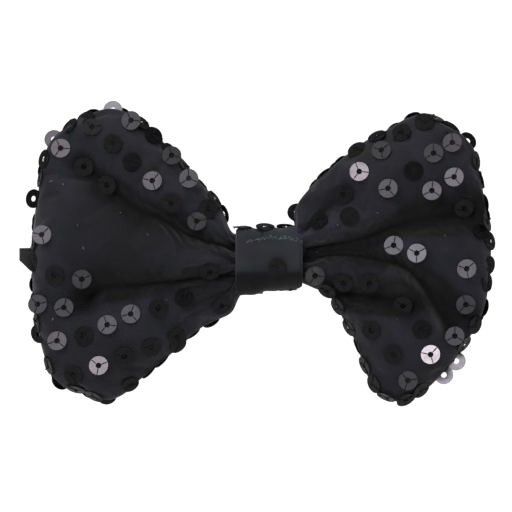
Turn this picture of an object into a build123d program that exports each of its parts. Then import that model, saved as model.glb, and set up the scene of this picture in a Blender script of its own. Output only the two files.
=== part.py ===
from build123d import *
import math
import os

# A sequinned hair bow: a padded loop of sequinned cloth on each side of a cinched and wrapped waist,
# sewn and glued to a ribbon-lined alligator clip that opens against its torsion spring.
#
# Frame: the origin is on the clip's grip face, straight behind the centre wrap. +X is to the right of
# someone facing the bow, -Y points at that person, +Y at the wearer's hair, and +Z is up.
# Every size is in millimetres.

os.makedirs("parts", exist_ok=True)

# ---- Driving dimensions: cloth, filling and loops -------------------------------------------------

CLOTH = 0.8                  # sequinned cloth with its mesh ground and seam allowance
LEFT_LOOP_LENGTH = 53.5      # from the side of the wrap to the loop's outer edge
RIGHT_LOOP_LENGTH = 49.5
LOOP_HEIGHT = 78.0           # from the lower corners to the upper corners
LOOP_FRONT_DEPTH = 9.5       # from the seam plane to the crown of the front cloth
LOOP_BACK_DEPTH = 6.8        # from the seam plane to the crown of the back cloth
LOOP_END_DEPTH = 4.0         # from the seam plane to the cloth at the waist and the outer edge
LOOP_EDGE_DEPTH = 3.2        # from the seam plane to the cloth at the upper and lower edges

# Corners of each loop's outline: share of its length, share of half its height, corner radius.
LEFT_CORNERS = [
    (0.00, 0.20, 0.0),
    (0.285, 0.69, 60.0),
    (0.60, 1.04, 9.0),
    (0.89, 0.87, 9.0),
    (1.005, 0.08, 70.0),
    (0.925, -0.80, 6.0),
    (0.64, -0.97, 9.0),
    (0.00, -0.28, 0.0),
]
RIGHT_CORNERS = [
    (0.00, 0.22, 0.0),
    (0.09, 0.50, 9.0),
    (0.31, 0.76, 30.0),
    (0.66, 1.00, 9.0),
    (0.90, 0.80, 9.0),
    (1.01, 0.08, 45.0),
    (0.97, -0.33, 12.0),
    (0.59, -0.95, 9.0),
    (0.43, -0.98, 5.0),
    (0.268, -0.51, 40.0),
    (0.136, -0.244, 12.0),
    (0.00, -0.18, 0.0),
]

# ---- Driving dimensions: waist and centre wrap ----------------------------------------------------

WRAP_WIDTH = 17.2            # along X
WRAP_HEIGHT = 17.4
WRAP_DEPTH = 12.8
WRAP_THICKNESS = 1.2         # a strip of the cloth's plain ground, folded double
WRAP_CORNER = 3.4
WRAP_SIDE_GAP = 0.15         # air between the wrap's edges and the loops
PLEATS = 5                   # gathers across the waist's height
PLEAT_GROOVE = 0.7           # depth of the furrow between two gathers
THREAD = 0.5                 # buttonhole thread that binds the waist
THREAD_TURNS = 4
THREAD_GAP = 0.05            # air on each side of the binding thread

# ---- Driving dimensions: sequins ------------------------------------------------------------------

SEQUIN_DIAMETER = 5.0
SEQUIN_HOLE = 1.25
SEQUIN_THICKNESS = 0.2
SEQUIN_PITCH = 6.8           # along a row and, on the slant, from row to row
SEQUIN_LIFT = 0.15           # air under a sequin on the loops' faces
SEQUIN_MARGIN = 3.3          # from the outline to the nearest sequin centre on a face
RIM_LIFT = 0.7               # air under a sequin on the loops' edges
RIM_PITCH = 8.2

# ---- Driving dimensions: backing and clip ---------------------------------------------------------

RIBBON = 0.4
METAL = 0.8
GLUE = 0.6
FELT = 1.2
FELT_WIDTH = 16.0
FELT_HEIGHT = 12.6
FELT_CORNER = 2.0
GLUE_WIDTH = 14.0
GLUE_HEIGHT = 7.0
FELT_STITCH = 0.36           # thread diameter of the felt's running stitch
FELT_STITCH_LENGTH = 2.0
FELT_STITCHES = 4            # in each of the two rows
FELT_STITCH_MARGIN = 0.8     # from the felt's upper and lower edges

JAW_LENGTH = 73.0            # from the hinge to the tip of the clip's upper arm
TAIL_LENGTH = 22.0           # from the hinge to the finger end
HINGE_X = 8.4
ARM_WIDTH = 9.0              # at the finger end
TIP_WIDTH = 6.0
TIP_CORNER = 1.6
TIP_CUT = 2.7                # off the lower corner of the lined arm's tip
EAR_RADIUS = 2.0
EAR_GAP = 0.2                # air between the upper and the lower arm's ears
PIN_DIAMETER = 1.6
PIN_CLEARANCE = 0.05         # radial, in the lower arm's ears
RIVET_HEAD = 0.4
RIVET_RADIUS = 1.4
LOWER_TIP_SETBACK = 2.2      # how much shorter the lower jaw is
TOOTH_HEIGHT = 0.8
TOOTH_PITCH = 2.6
TEETH = 13
JAW_GAP = 0.3                # air between the teeth and the lined grip face
LEVER_RISE = 11.4            # of the finger lever's end over the jaw
WIRE = 0.7
COIL_RADIUS = 1.5            # to the middle of the wire
COIL_TURNS = 3.5
COIL_HEIGHT = 3.2
SPRING_LEG = 9.0
SPRING_GAP = 0.08            # air between the spring's legs and the arms
COIL_CLEARANCE = 0.4         # air between the coil and the lower arm's saddle
SADDLE_RISE = 1.0            # from the saddle's jaw end to the foot of the finger lever

# ---- Places that follow from the sizes ------------------------------------------------------------

ARM_INNER_Y = -RIBBON
ARM_OUTER_Y = ARM_INNER_Y - METAL
LINING_OUTER_Y = ARM_OUTER_Y - RIBBON
GLUE_FRONT_Y = LINING_OUTER_Y - GLUE
FELT_FRONT_Y = GLUE_FRONT_Y - FELT
SEAM_Y = FELT_FRONT_Y - WRAP_DEPTH / 2
WAIST_HALF_X = WRAP_WIDTH / 2 + WRAP_SIDE_GAP
WAIST_HALF_DEPTH = WRAP_DEPTH / 2 - WRAP_THICKNESS - THREAD - 2 * THREAD_GAP
WAIST_HALF_HEIGHT = WRAP_HEIGHT / 2 - WRAP_THICKNESS - THREAD - 2 * THREAD_GAP

EAR_INNER_Z = ARM_WIDTH / 2 - METAL
LOWER_HALF_WIDTH = EAR_INNER_Z - EAR_GAP
HINGE_Y = ARM_INNER_Y + EAR_RADIUS + 1.6
JAW_FACE_Y = JAW_GAP + TOOTH_HEIGHT
JAW_Y = JAW_FACE_Y + METAL / 2
SADDLE_Y = HINGE_Y + COIL_RADIUS + WIRE / 2 + COIL_CLEARANCE + METAL / 2
TIP_X = HINGE_X - JAW_LENGTH
SADDLE_X = HINGE_X - 2.1 * EAR_RADIUS
JAW_ROOT_X = SADDLE_X - 1.2 * (SADDLE_Y - JAW_Y)
LEVER_FOOT_X = HINGE_X + 1.6 * EAR_RADIUS
TAIL_X = HINGE_X + TAIL_LENGTH


def save(shape, name):
    """Write one node."""
    export_step(shape, os.path.join("parts", name + ".step"))


def front_plane(y):
    """Plane that faces the viewer at this depth, with local x along X and local y along Z."""
    return Plane(origin=(0, y, 0), x_dir=(1, 0, 0), z_dir=(0, -1, 0))


# ---- The two padded loops -------------------------------------------------------------------------

class Loop:
    """One padded loop: its outline, its crowned faces and the sequins that sit on them."""

    def __init__(self, side, length, corners):
        self.side = side
        self.length = length
        self.corners = corners
        self.half_height = LOOP_HEIGHT / 2
        self.tip_height = self.half_height * max(abs(share) for _, share, _ in corners)

    def x_at(self, share):
        """X of a point this share of the way out along the loop."""
        return self.side * (WAIST_HALF_X + share * self.length)

    def outline(self):
        """Closed outline of lines and tangent arcs, in a plane that faces the viewer."""
        points = [(self.x_at(along), up * self.half_height) for along, up, _ in self.corners]
        radii = []
        count = len(points)
        for i, (_, _, wanted) in enumerate(self.corners):
            before, here, after = Vector(*points[i - 1]), Vector(*points[i]), Vector(*points[(i + 1) % count])
            turn = math.radians((here - before).get_angle(after - here))
            shorter = min((here - before).length, (after - here).length)
            largest = 0.48 * shorter / math.tan(turn / 2)
            radii.append(min(wanted, largest))
        return make_face(FilletPolyline(*points, radius=radii, close=True)).face()

    def crowned_section(self, start, end, end_depth, inset):
        """Section with a front and a back arc between two ends, as seen from above."""
        middle = (start + end) / 2
        shallow = end_depth - inset
        front = ThreePointArc((start, -shallow), (middle, inset - LOOP_FRONT_DEPTH), (end, -shallow))
        back = ThreePointArc((end, shallow), (middle, LOOP_BACK_DEPTH - inset), (start, shallow))
        return make_face([front, Line(front @ 1, back @ 0), back, Line(back @ 1, front @ 0)])

    def pillow(self, inset):
        """The loop's whole body, drawn in by this much from the outside of the cloth."""
        face = self.outline()
        if inset:
            face = offset(face, amount=-inset)
        prism = extrude(front_plane(SEAM_Y) * face, amount=LOOP_HEIGHT, both=True)
        near, far = sorted((self.x_at(0), self.x_at(1.01)))
        from_above = Plane(origin=(0, SEAM_Y, 0), x_dir=(1, 0, 0), z_dir=(0, 0, 1))
        lengthways = self.crowned_section(near, far, LOOP_END_DEPTH, inset)
        along = extrude(from_above * lengthways, amount=LOOP_HEIGHT, both=True)
        from_side = Plane(origin=(0, SEAM_Y, 0), x_dir=(0, 0, 1), z_dir=(-1, 0, 0))
        upright = self.crowned_section(-self.tip_height, self.tip_height, LOOP_EDGE_DEPTH, inset)
        across = extrude(from_side * upright, amount=3 * self.length, both=True)
        return prism & along & across

    def split(self):
        """The front cloth, the back cloth and the filling between them."""
        outer = self.pillow(0)
        filling = self.pillow(CLOTH)
        shell = outer - filling
        front_half = Pos(0, SEAM_Y - LOOP_HEIGHT / 2, 0) * Box(6 * self.length, LOOP_HEIGHT, 3 * LOOP_HEIGHT)
        return shell & front_half, shell - front_half, filling

    def face_point(self, x, z, crown):
        """Point and outward normal on the front (crown negative) or back face over (x, z)."""
        depth_x, slope_x = arc_depth(x - self.x_at(1.01 / 2), (self.length * 1.01) / 2, LOOP_END_DEPTH, abs(crown))
        depth_z, slope_z = arc_depth(z, self.tip_height, LOOP_EDGE_DEPTH, abs(crown))
        outward = math.copysign(1, crown)
        if depth_x < depth_z:
            return Vector(x, SEAM_Y + outward * depth_x, z), Vector(-slope_x, outward, 0)
        return Vector(x, SEAM_Y + outward * depth_z, z), Vector(0, outward, -slope_z)

    def face_sequins(self, crown):
        """Sequins in staggered rows on the front (crown negative) or the back face."""
        zone = offset(self.outline(), amount=-SEQUIN_MARGIN).face()
        row_step = SEQUIN_PITCH * math.sqrt(3) / 2
        sequins = []
        for column in range(1 + int(self.length / row_step)):
            x = self.side * (WAIST_HALF_X + SEQUIN_MARGIN + column * row_step)
            shift = SEQUIN_PITCH / 2 * (column % 2)
            reach = int(LOOP_HEIGHT / SEQUIN_PITCH)
            for row in range(-reach, reach + 1):
                z = row * SEQUIN_PITCH + shift
                if zone.is_inside(Vector(x, z, 0)):
                    point, normal = self.face_point(x, z, crown)
                    sequins.append(sequin(point, normal, SEQUIN_LIFT))
        return Compound(children=sequins)

    def rim_sequins(self):
        """Sequins round the loop's edge, clear of the waist."""
        face = self.outline()
        rim = face.outer_wire()
        count = int(rim.length / RIM_PITCH)
        clear_of_wrap = WAIST_HALF_X + SEQUIN_DIAMETER / 2 + 3 * RIM_LIFT
        sequins = []
        for i in range(count):
            place = rim.position_at(i / count)
            along = rim.tangent_at(i / count)
            outward = Vector(along.Y, -along.X, 0)
            probe = place + outward * RIM_LIFT
            if face.is_inside(probe):
                outward = outward * -1
            if abs(place.X) > clear_of_wrap:
                point = Vector(place.X, SEAM_Y, place.Y)
                sequins.append(sequin(point, Vector(outward.X, 0, outward.Y), RIM_LIFT))
        return Compound(children=sequins)


def arc_depth(offset_from_middle, half_span, end_depth, crown):
    """Depth of a crowned arc at this distance from its middle, and the slope of that depth."""
    rise = crown - end_depth
    radius = (half_span ** 2 + rise ** 2) / (2 * rise)
    root = math.sqrt(radius ** 2 - offset_from_middle ** 2)
    return crown - radius + root, -offset_from_middle / root


def sequin(point, normal, lift):
    """A flat washer held just over the surface at this point."""
    ring = Circle(SEQUIN_DIAMETER / 2) - Circle(SEQUIN_HOLE / 2)
    seat = Plane(origin=point + normal.normalized() * lift, z_dir=normal)
    return extrude(seat * ring, amount=SEQUIN_THICKNESS).solid()


# ---- The waist and its wrap -----------------------------------------------------------------------

def waist_section(half_depth, half_height, corner):
    """Rounded block section round the waist, as seen along X."""
    from_side = Plane(origin=(0, SEAM_Y, 0), x_dir=(0, 1, 0), z_dir=(1, 0, 0))
    return from_side * RectangleRounded(2 * half_depth, 2 * half_height, corner)


def waist_gathers():
    """The cloth pulled together through the wrap, with a furrow between neighbouring gathers."""
    corner = WRAP_CORNER - WRAP_THICKNESS - THREAD
    body = extrude(waist_section(WAIST_HALF_DEPTH, WAIST_HALF_HEIGHT, corner), amount=WAIST_HALF_X, both=True)
    step = 2 * WAIST_HALF_HEIGHT / PLEATS
    for i in range(1, PLEATS):
        z = -WAIST_HALF_HEIGHT + i * step
        for face in (-1, 1):
            groove = Cylinder(PLEAT_GROOVE, 3 * WAIST_HALF_X, rotation=(0, 90, 0))
            body -= Pos(0, SEAM_Y + face * WAIST_HALF_DEPTH, z) * groove
    return body


def binding_thread():
    """Separate tight turns of thread round the gathers, spread over half the waist."""
    inner = WRAP_CORNER - WRAP_THICKNESS - THREAD
    grow = THREAD_GAP + THREAD / 2
    section = RectangleRounded(
        2 * (WAIST_HALF_DEPTH + grow), 2 * (WAIST_HALF_HEIGHT + grow), inner + grow
    )
    turns = []
    for i in range(THREAD_TURNS):
        x = (i - (THREAD_TURNS - 1) / 2) * 2.4 * THREAD
        seat = Plane(origin=(x, SEAM_Y, 0), x_dir=(0, 1, 0), z_dir=(1, 0, 0))
        path = (seat * section).face().outer_wire()
        start = Plane(origin=path @ 0, z_dir=path % 0)
        turns.append(sweep(start * Circle(THREAD / 2), path=path).solid())
    return Compound(children=turns)


def centre_wrap():
    """The folded strip round the waist."""
    outer = waist_section(WRAP_DEPTH / 2, WRAP_HEIGHT / 2, WRAP_CORNER)
    inner = waist_section(
        WRAP_DEPTH / 2 - WRAP_THICKNESS, WRAP_HEIGHT / 2 - WRAP_THICKNESS, WRAP_CORNER - WRAP_THICKNESS
    )
    return extrude(outer - inner, amount=WRAP_WIDTH / 2, both=True)


def wrap_sequins():
    """The few sequins left on the wrap: two in front, and two each above and below."""
    front_y = SEAM_Y - WRAP_DEPTH / 2
    aside = WRAP_WIDTH / 4
    sequins = [
        sequin(Vector(aside / 2, front_y, -WRAP_HEIGHT / 8), Vector(0, -1, 0), SEQUIN_LIFT),
        sequin(Vector(-aside, front_y, -WRAP_HEIGHT / 5), Vector(0, -1, 0), SEQUIN_LIFT),
    ]
    for end in (-1, 1):
        for x in (-aside, aside):
            top = Vector(x, SEAM_Y, end * WRAP_HEIGHT / 2)
            sequins.append(sequin(top, Vector(0, 0, end), SEQUIN_LIFT))
    return Compound(children=sequins)


# ---- Felt, stitches and glue ----------------------------------------------------------------------

def felt_backing():
    """Felt pad on the back of the wrap."""
    return extrude(front_plane(GLUE_FRONT_Y) * RectangleRounded(FELT_WIDTH, FELT_HEIGHT, FELT_CORNER), amount=FELT)


def felt_stitches():
    """Two rows of running stitches that hold the felt to the wrap."""
    y = GLUE_FRONT_Y + FELT_STITCH / 2
    pitch = (FELT_WIDTH - 2 * FELT_CORNER) / FELT_STITCHES
    stitches = []
    for end in (-1, 1):
        z = end * (FELT_HEIGHT / 2 - FELT_STITCH_MARGIN)
        for i in range(FELT_STITCHES):
            x = (i - (FELT_STITCHES - 1) / 2) * pitch
            straight = Cylinder(FELT_STITCH / 2, FELT_STITCH_LENGTH, rotation=(0, 90, 0))
            stitches.append((Pos(x, y, z) * straight).solid())
    return Compound(children=stitches)


def clip_glue():
    """Pad of set glue between the felt and the lined clip."""
    pad = RectangleRounded(GLUE_WIDTH, GLUE_HEIGHT, GLUE_HEIGHT / 3)
    return extrude(front_plane(LINING_OUTER_Y) * pad, amount=GLUE)


# ---- The clip -------------------------------------------------------------------------------------

def arm_plan(tip_x, tip_width, tail_x, tail_width, corner, cut=0):
    """Tapered plan of an arm with rounded ends, in a plane that faces the viewer."""
    lower_tip = [(tip_x, -tip_width / 2)]
    if cut:
        lower_tip = [(tip_x, cut - tip_width / 2), (tip_x + cut, -tip_width / 2)]
    corners = lower_tip + [
        (tail_x, -tail_width / 2),
        (tail_x, tail_width / 2),
        (tip_x, tip_width / 2),
    ]
    return make_face(FilletPolyline(*corners, radius=corner, close=True))


def ear(y_end, half_width):
    """Side view of a hinge ear: a tongue from the arm at y_end to a round end about the pin."""
    reach = abs(y_end - HINGE_Y)
    tongue = Pos(HINGE_X, (y_end + HINGE_Y) / 2) * Rectangle(2 * half_width, reach)
    return tongue + Pos(HINGE_X, HINGE_Y) * Circle(EAR_RADIUS)


def clip_upper_arm():
    """The straight arm that carries the bow, with two ears that hold the pin."""
    plan = arm_plan(TIP_X, TIP_WIDTH, TAIL_X, ARM_WIDTH, TIP_CORNER, TIP_CUT)
    arm = extrude(front_plane(ARM_INNER_Y) * plan, amount=METAL)
    cheek = ear(ARM_INNER_Y - METAL / 2, EAR_RADIUS) - Pos(HINGE_X, HINGE_Y) * Circle(PIN_DIAMETER / 2)
    edge = ARM_WIDTH / 2
    trim = extrude(front_plane(LOOP_HEIGHT) * plan, amount=2 * LOOP_HEIGHT)
    for low in (-edge, edge - METAL):
        arm += extrude(Pos(0, 0, low) * cheek, amount=METAL)
    return arm & (trim + Pos(HINGE_X, HINGE_Y, 0) * Box(4 * EAR_RADIUS, 8 * EAR_RADIUS, ARM_WIDTH))


def lower_arm_line():
    """Side view of the lower arm's middle: jaw, saddle over the spring, finger lever."""
    return FilletPolyline(
        (TIP_X + LOWER_TIP_SETBACK, JAW_Y),
        (JAW_ROOT_X, JAW_Y),
        (SADDLE_X, SADDLE_Y),
        (LEVER_FOOT_X, SADDLE_Y + SADDLE_RISE),
        (TAIL_X, JAW_Y + LEVER_RISE),
        radius=1.8,
    )


def clip_lower_arm():
    """The sprung arm: a toothed jaw in front of the hinge, a finger lever behind it."""
    sheet = trace(lower_arm_line(), METAL)
    strip = extrude(sheet, amount=LOWER_HALF_WIDTH, both=True)
    plan = arm_plan(
        TIP_X + LOWER_TIP_SETBACK, TIP_WIDTH - 2 * METAL, TAIL_X, 2 * LOWER_HALF_WIDTH, TIP_CORNER
    )
    strip &= extrude(front_plane(LOOP_HEIGHT) * plan, amount=2 * LOOP_HEIGHT)
    tooth_width = TIP_WIDTH - 2 * METAL - TIP_CORNER
    first = TIP_X + LOWER_TIP_SETBACK + TOOTH_PITCH
    for i in range(TEETH):
        x = first + i * TOOTH_PITCH
        profile = make_face(
            Polyline(
                (x - TOOTH_HEIGHT, JAW_Y), (x, JAW_GAP), (x + TOOTH_HEIGHT, JAW_Y), close=True
            )
        )
        strip += extrude(profile, amount=tooth_width / 2, both=True)
    cheek = ear(SADDLE_Y + SADDLE_RISE / 2, EAR_RADIUS * 0.9) - Pos(HINGE_X, HINGE_Y) * Circle(PIN_DIAMETER / 2 + PIN_CLEARANCE)
    for low in (-LOWER_HALF_WIDTH, LOWER_HALF_WIDTH - METAL):
        strip += extrude(Pos(0, 0, low) * cheek, amount=METAL)
    return strip


def clip_hinge_pin():
    """Rivet through all four ears."""
    pin = Cylinder(PIN_DIAMETER / 2, ARM_WIDTH)
    for end in (-1, 1):
        pin += Pos(0, 0, end * (ARM_WIDTH / 2 + RIVET_HEAD / 2)) * Cylinder(RIVET_RADIUS, RIVET_HEAD)
    return Pos(HINGE_X, HINGE_Y, 0) * pin


def clip_spring():
    """Torsion spring round the pin, with one leg along each arm's finger end."""
    centre = Vector(HINGE_X, HINGE_Y, -COIL_HEIGHT / 2)
    pitch = COIL_HEIGHT / COIL_TURNS
    coil_path = Helix(pitch=pitch, height=COIL_HEIGHT, radius=COIL_RADIUS, lefthand=True)
    coil_path = Pos(*centre) * Rot(0, 0, -90) * coil_path
    start = Plane(origin=coil_path @ 0, z_dir=coil_path % 0)
    coil = sweep(start * Circle(WIRE / 2), path=coil_path, is_frenet=True)
    lever_start = Vector(LEVER_FOOT_X, SADDLE_Y + SADDLE_RISE, 0)
    lever_end = Vector(TAIL_X, JAW_Y + LEVER_RISE, 0)
    slope = (lever_end.Y - lever_start.Y) / (lever_end.X - lever_start.X)
    tilt = math.sqrt(1 + slope ** 2)
    lever_y = lever_start.Y + slope * (HINGE_X + SPRING_LEG - lever_start.X)
    leg_ends = (
        (coil_path @ 0, ARM_INNER_Y + WIRE / 2 + SPRING_GAP),
        (coil_path @ 1, lever_y - (METAL / 2 + WIRE / 2 + SPRING_GAP) * tilt),
    )
    spring = coil
    for root, end_y in leg_ends:
        tip = Vector(HINGE_X + SPRING_LEG, end_y, root.Z)
        leg_seat = Plane(origin=root, z_dir=tip - root)
        spring += extrude(leg_seat * Circle(WIRE / 2), amount=(tip - root).length)
        spring += Pos(*root) * Sphere(WIRE / 2)
    return spring


def clip_ribbon_lining():
    """Ribbon glued along the upper arm's front, round its tip and back along the grip face."""
    tail_end = TAIL_X - TIP_CORNER
    grip_end = HINGE_X - EAR_RADIUS - 2.0
    outer_tip = TIP_X - RIBBON
    front = make_face(
        Polyline(
            (outer_tip, 0),
            (outer_tip, LINING_OUTER_Y),
            (tail_end, LINING_OUTER_Y),
            (tail_end, ARM_OUTER_Y),
            (TIP_X, ARM_OUTER_Y),
            (TIP_X, ARM_INNER_Y),
            (grip_end, ARM_INNER_Y),
            (grip_end, 0),
            close=True,
        )
    )
    band = extrude(front, amount=ARM_WIDTH / 2, both=True)
    plan = arm_plan(outer_tip, TIP_WIDTH, TAIL_X, ARM_WIDTH, RIBBON, TIP_CUT)
    band &= extrude(front_plane(LOOP_HEIGHT) * plan, amount=2 * LOOP_HEIGHT)
    tip_edges = band.edges().filter_by(Axis.Z).group_by(Axis.X)[0]
    return fillet(tip_edges, RIBBON * 0.9)


# ---- Build every node -----------------------------------------------------------------------------

LOOPS = {
    "left": Loop(-1, LEFT_LOOP_LENGTH, LEFT_CORNERS),
    "right": Loop(1, RIGHT_LOOP_LENGTH, RIGHT_CORNERS),
}

for label, loop in LOOPS.items():
    front_cloth, back_cloth, wadding = loop.split()
    save(front_cloth, label + "_front_cloth")
    save(back_cloth, label + "_back_cloth")
    save(wadding, label + "_wadding")
    save(loop.face_sequins(-LOOP_FRONT_DEPTH), label + "_front_sequins")
    save(loop.face_sequins(LOOP_BACK_DEPTH), label + "_back_sequins")
    save(loop.rim_sequins(), label + "_rim_sequins")

for make in (
    waist_gathers,
    binding_thread,
    centre_wrap,
    wrap_sequins,
    felt_backing,
    felt_stitches,
    clip_glue,
    clip_upper_arm,
    clip_lower_arm,
    clip_hinge_pin,
    clip_spring,
    clip_ribbon_lining,
):
    save(make(), make.__name__)
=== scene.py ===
import logging
import math
import random
from dataclasses import dataclass, field
from enum import Enum
from typing import Callable, Dict, List, Optional, Sequence, Tuple, Union

import bmesh
import bpy
import numpy as np
from mathutils import Matrix, Vector
from mathutils.bvhtree import BVHTree


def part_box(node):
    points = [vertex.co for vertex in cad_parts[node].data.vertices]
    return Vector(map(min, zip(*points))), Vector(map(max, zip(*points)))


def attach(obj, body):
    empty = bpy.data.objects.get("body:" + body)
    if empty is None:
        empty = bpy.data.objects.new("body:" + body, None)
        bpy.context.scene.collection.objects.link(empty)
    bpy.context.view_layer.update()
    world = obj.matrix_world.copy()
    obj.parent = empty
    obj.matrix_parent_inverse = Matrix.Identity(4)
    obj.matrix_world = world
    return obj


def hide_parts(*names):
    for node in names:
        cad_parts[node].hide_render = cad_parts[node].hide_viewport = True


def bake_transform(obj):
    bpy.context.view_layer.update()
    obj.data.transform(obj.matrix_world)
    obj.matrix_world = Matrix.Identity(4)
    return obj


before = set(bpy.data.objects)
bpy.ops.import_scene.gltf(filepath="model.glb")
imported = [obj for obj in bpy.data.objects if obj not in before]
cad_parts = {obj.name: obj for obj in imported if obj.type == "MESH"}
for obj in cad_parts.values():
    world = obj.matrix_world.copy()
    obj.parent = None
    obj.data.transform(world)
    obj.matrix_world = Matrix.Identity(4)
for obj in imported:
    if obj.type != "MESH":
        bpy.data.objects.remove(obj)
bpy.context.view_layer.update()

logging.basicConfig(level=logging.INFO, format="%(message)s")
log = logging.getLogger("hair_bow")

MM = 0.001
VIEWER = Vector((0.0, -1.0, 0.0))
Share = Tuple[float, float]
Piece = bpy.types.Object
Node = bpy.types.Node
Socket = bpy.types.NodeSocket
Setting = Union[Socket, float, int, bool, Sequence[float], bpy.types.ID, None]
Quads = List[Tuple[int, int, int, int]]


class Body(Enum):
    """The two rigid bodies of the bow."""

    BOW = "bow"
    LOWER_ARM = "lower_arm"


class Slot(Enum):
    """Material slots of the record."""

    SEQUIN_CLOTH = "sequin_cloth"
    WRAP_CLOTH = "wrap_cloth"
    WADDING = "wadding"
    THREAD = "thread"
    SEQUIN_FILM = "sequin_film"
    FELT = "felt"
    GLUE = "glue"
    RIBBON = "ribbon"
    PLATED_STEEL = "plated_steel"
    SPRING_STEEL = "spring_steel"


class Face(Enum):
    """Which face of a loop a cloth panel covers, with the sign of its outward Y."""

    FRONT = -1
    BACK = 1


# Node trees


class Graph:
    """A node tree under construction, with short calls for the nodes that this file uses."""

    def __init__(self, tree: bpy.types.NodeTree) -> None:
        """Start on an empty tree."""
        self.tree = tree
        self.tree.nodes.clear()

    def node(self, kind: str, settings: Optional[Dict[str, object]] = None, **inputs: Setting) -> Node:
        """Add a node.

        Args:
            kind: The node's class name.
            settings: Properties of the node itself.
            inputs: Values or sockets for its named inputs, with an underscore for each space.

        Returns:
            The new node.
        """
        made = self.tree.nodes.new(kind)
        for key, value in (settings or {}).items():
            setattr(made, key, value)
        return self.fill(made, **inputs)

    def fill(self, node: Node, **inputs: Setting) -> Node:
        """Link or set a node's named inputs, with an underscore for each space, and return it."""
        for key, value in inputs.items():
            self.feed(node.inputs[key.replace("_", " ")], value)
        return node

    def feed(self, socket: Socket, value: Setting) -> None:
        """Link a socket, or set its own value.

        Args:
            socket: The input.
            value: A socket to link from, or a plain value.
        """
        if isinstance(value, Socket):
            self.tree.links.new(value, socket)
        else:
            socket.default_value = value

    def numbered(self, kind: str, settings: Dict[str, object], *values: Setting) -> Socket:
        """Add a node, feed its first inputs in order and return its first output."""
        made = self.node(kind, settings)
        for socket, value in zip(made.inputs, values):
            self.feed(socket, value)
        return made.outputs[0]

    def math(self, operation: str, *values: Setting) -> Socket:
        """Add a Math node and return its output."""
        return self.numbered("ShaderNodeMath", {"operation": operation}, *values)

    def times(self, first: Setting, second: Setting) -> Socket:
        """Multiply two values."""
        return self.math("MULTIPLY", first, second)

    def mix(self, factor: Setting, first: Setting, second: Setting) -> Socket:
        """Blend two colours.

        Args:
            factor: 0 for the first colour, 1 for the second.
            first: Colour or socket.
            second: Colour or socket.

        Returns:
            The mixed colour.
        """
        made = self.node("ShaderNodeMix", {"data_type": "RGBA"})
        self.feed(made.inputs[0], factor)
        self.feed(made.inputs[6], first)
        self.feed(made.inputs[7], second)
        return made.outputs[2]

    def remap(self, value: Setting, low: float, high: float, to_low: float, to_high: float) -> Socket:
        """Rescale a value with clamping.

        Args:
            value: What is rescaled.
            low: Input that gives to_low.
            high: Input that gives to_high.
            to_low: Lower end of the result.
            to_high: Upper end of the result.

        Returns:
            The rescaled value.
        """
        return self.numbered("ShaderNodeMapRange", {}, value, low, high, to_low, to_high)

    def noise(self, vector: Setting, scale: float, detail: float = 3.0, roughness: float = 0.55) -> Socket:
        """Add a noise texture and return its value."""
        sizes = {"Scale": scale, "Detail": detail, "Roughness": roughness}
        return self.node("ShaderNodeTexNoise", Vector=vector, **sizes).outputs[0]

    def place(self) -> Socket:
        """The object's own coordinates."""
        return self.node("ShaderNodeTexCoord").outputs["Object"]

    def cloth(self) -> Socket:
        """The coordinates that follow a piece of cloth."""
        return self.node("ShaderNodeUVMap", {"uv_map": "cloth"}).outputs[0]

    def marked(self, name: str) -> Socket:
        """A value that the mesh carries under a name."""
        return self.node("ShaderNodeAttribute", {"attribute_name": name}).outputs["Fac"]


FLOAT, VECTOR, GEOMETRY = "NodeSocketFloat", "NodeSocketVector", "NodeSocketGeometry"


def new_group(
    name: str, kind: str, inputs: Sequence[Tuple], outputs: Sequence[str], sort: str = FLOAT
) -> Tuple[Graph, bpy.types.NodeOutputs]:
    """Start a node group.

    Args:
        name: The group's name.
        kind: The class of its tree.
        inputs: Name, socket class and, where it has one, default of each input.
        outputs: Names of its outputs.
        sort: Their socket class.

    Returns:
        Its graph, and its inputs as sockets to link from.
    """
    tree = bpy.data.node_groups.new(name, kind)
    for title, socket, *value in inputs:
        made = tree.interface.new_socket(name=title, in_out="INPUT", socket_type=socket)
        if value:
            made.default_value = value[0]
    for title in outputs:
        tree.interface.new_socket(name=title, in_out="OUTPUT", socket_type=sort)
    g = Graph(tree)
    return g, g.node("NodeGroupInput").outputs


def build_knit_group() -> bpy.types.NodeTree:
    """Make the group that draws knitted wales and courses on cloth coordinates.

    Returns:
        The group, with a height and a mask of the gaps between stitches.
    """
    inputs = (("Cloth", VECTOR), ("Wale", FLOAT, 0.7 * MM), ("Course", FLOAT, 0.55 * MM))
    g, given = new_group("knit_stitches", "ShaderNodeTree", inputs, ("Height", "Gap"))
    parts = g.node("ShaderNodeSeparateXYZ", Vector=given["Cloth"])
    across = g.math("DIVIDE", parts.outputs[1], given["Wale"])
    along = g.math("DIVIDE", parts.outputs[0], given["Course"])
    wale = g.math("ABSOLUTE", g.math("SINE", g.times(across, math.pi)))
    slant = g.math("MULTIPLY_ADD", along, math.tau, g.times(wale, 2.4))
    course = g.math("MULTIPLY_ADD", g.math("SINE", slant), 0.5, 0.5)
    height = g.math("MULTIPLY_ADD", wale, 0.6, g.times(course, 0.4))
    g.node("NodeGroupOutput", Height=height, Gap=g.remap(height, 0.12, 0.45, 1.0, 0.0))
    return g.tree


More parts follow.
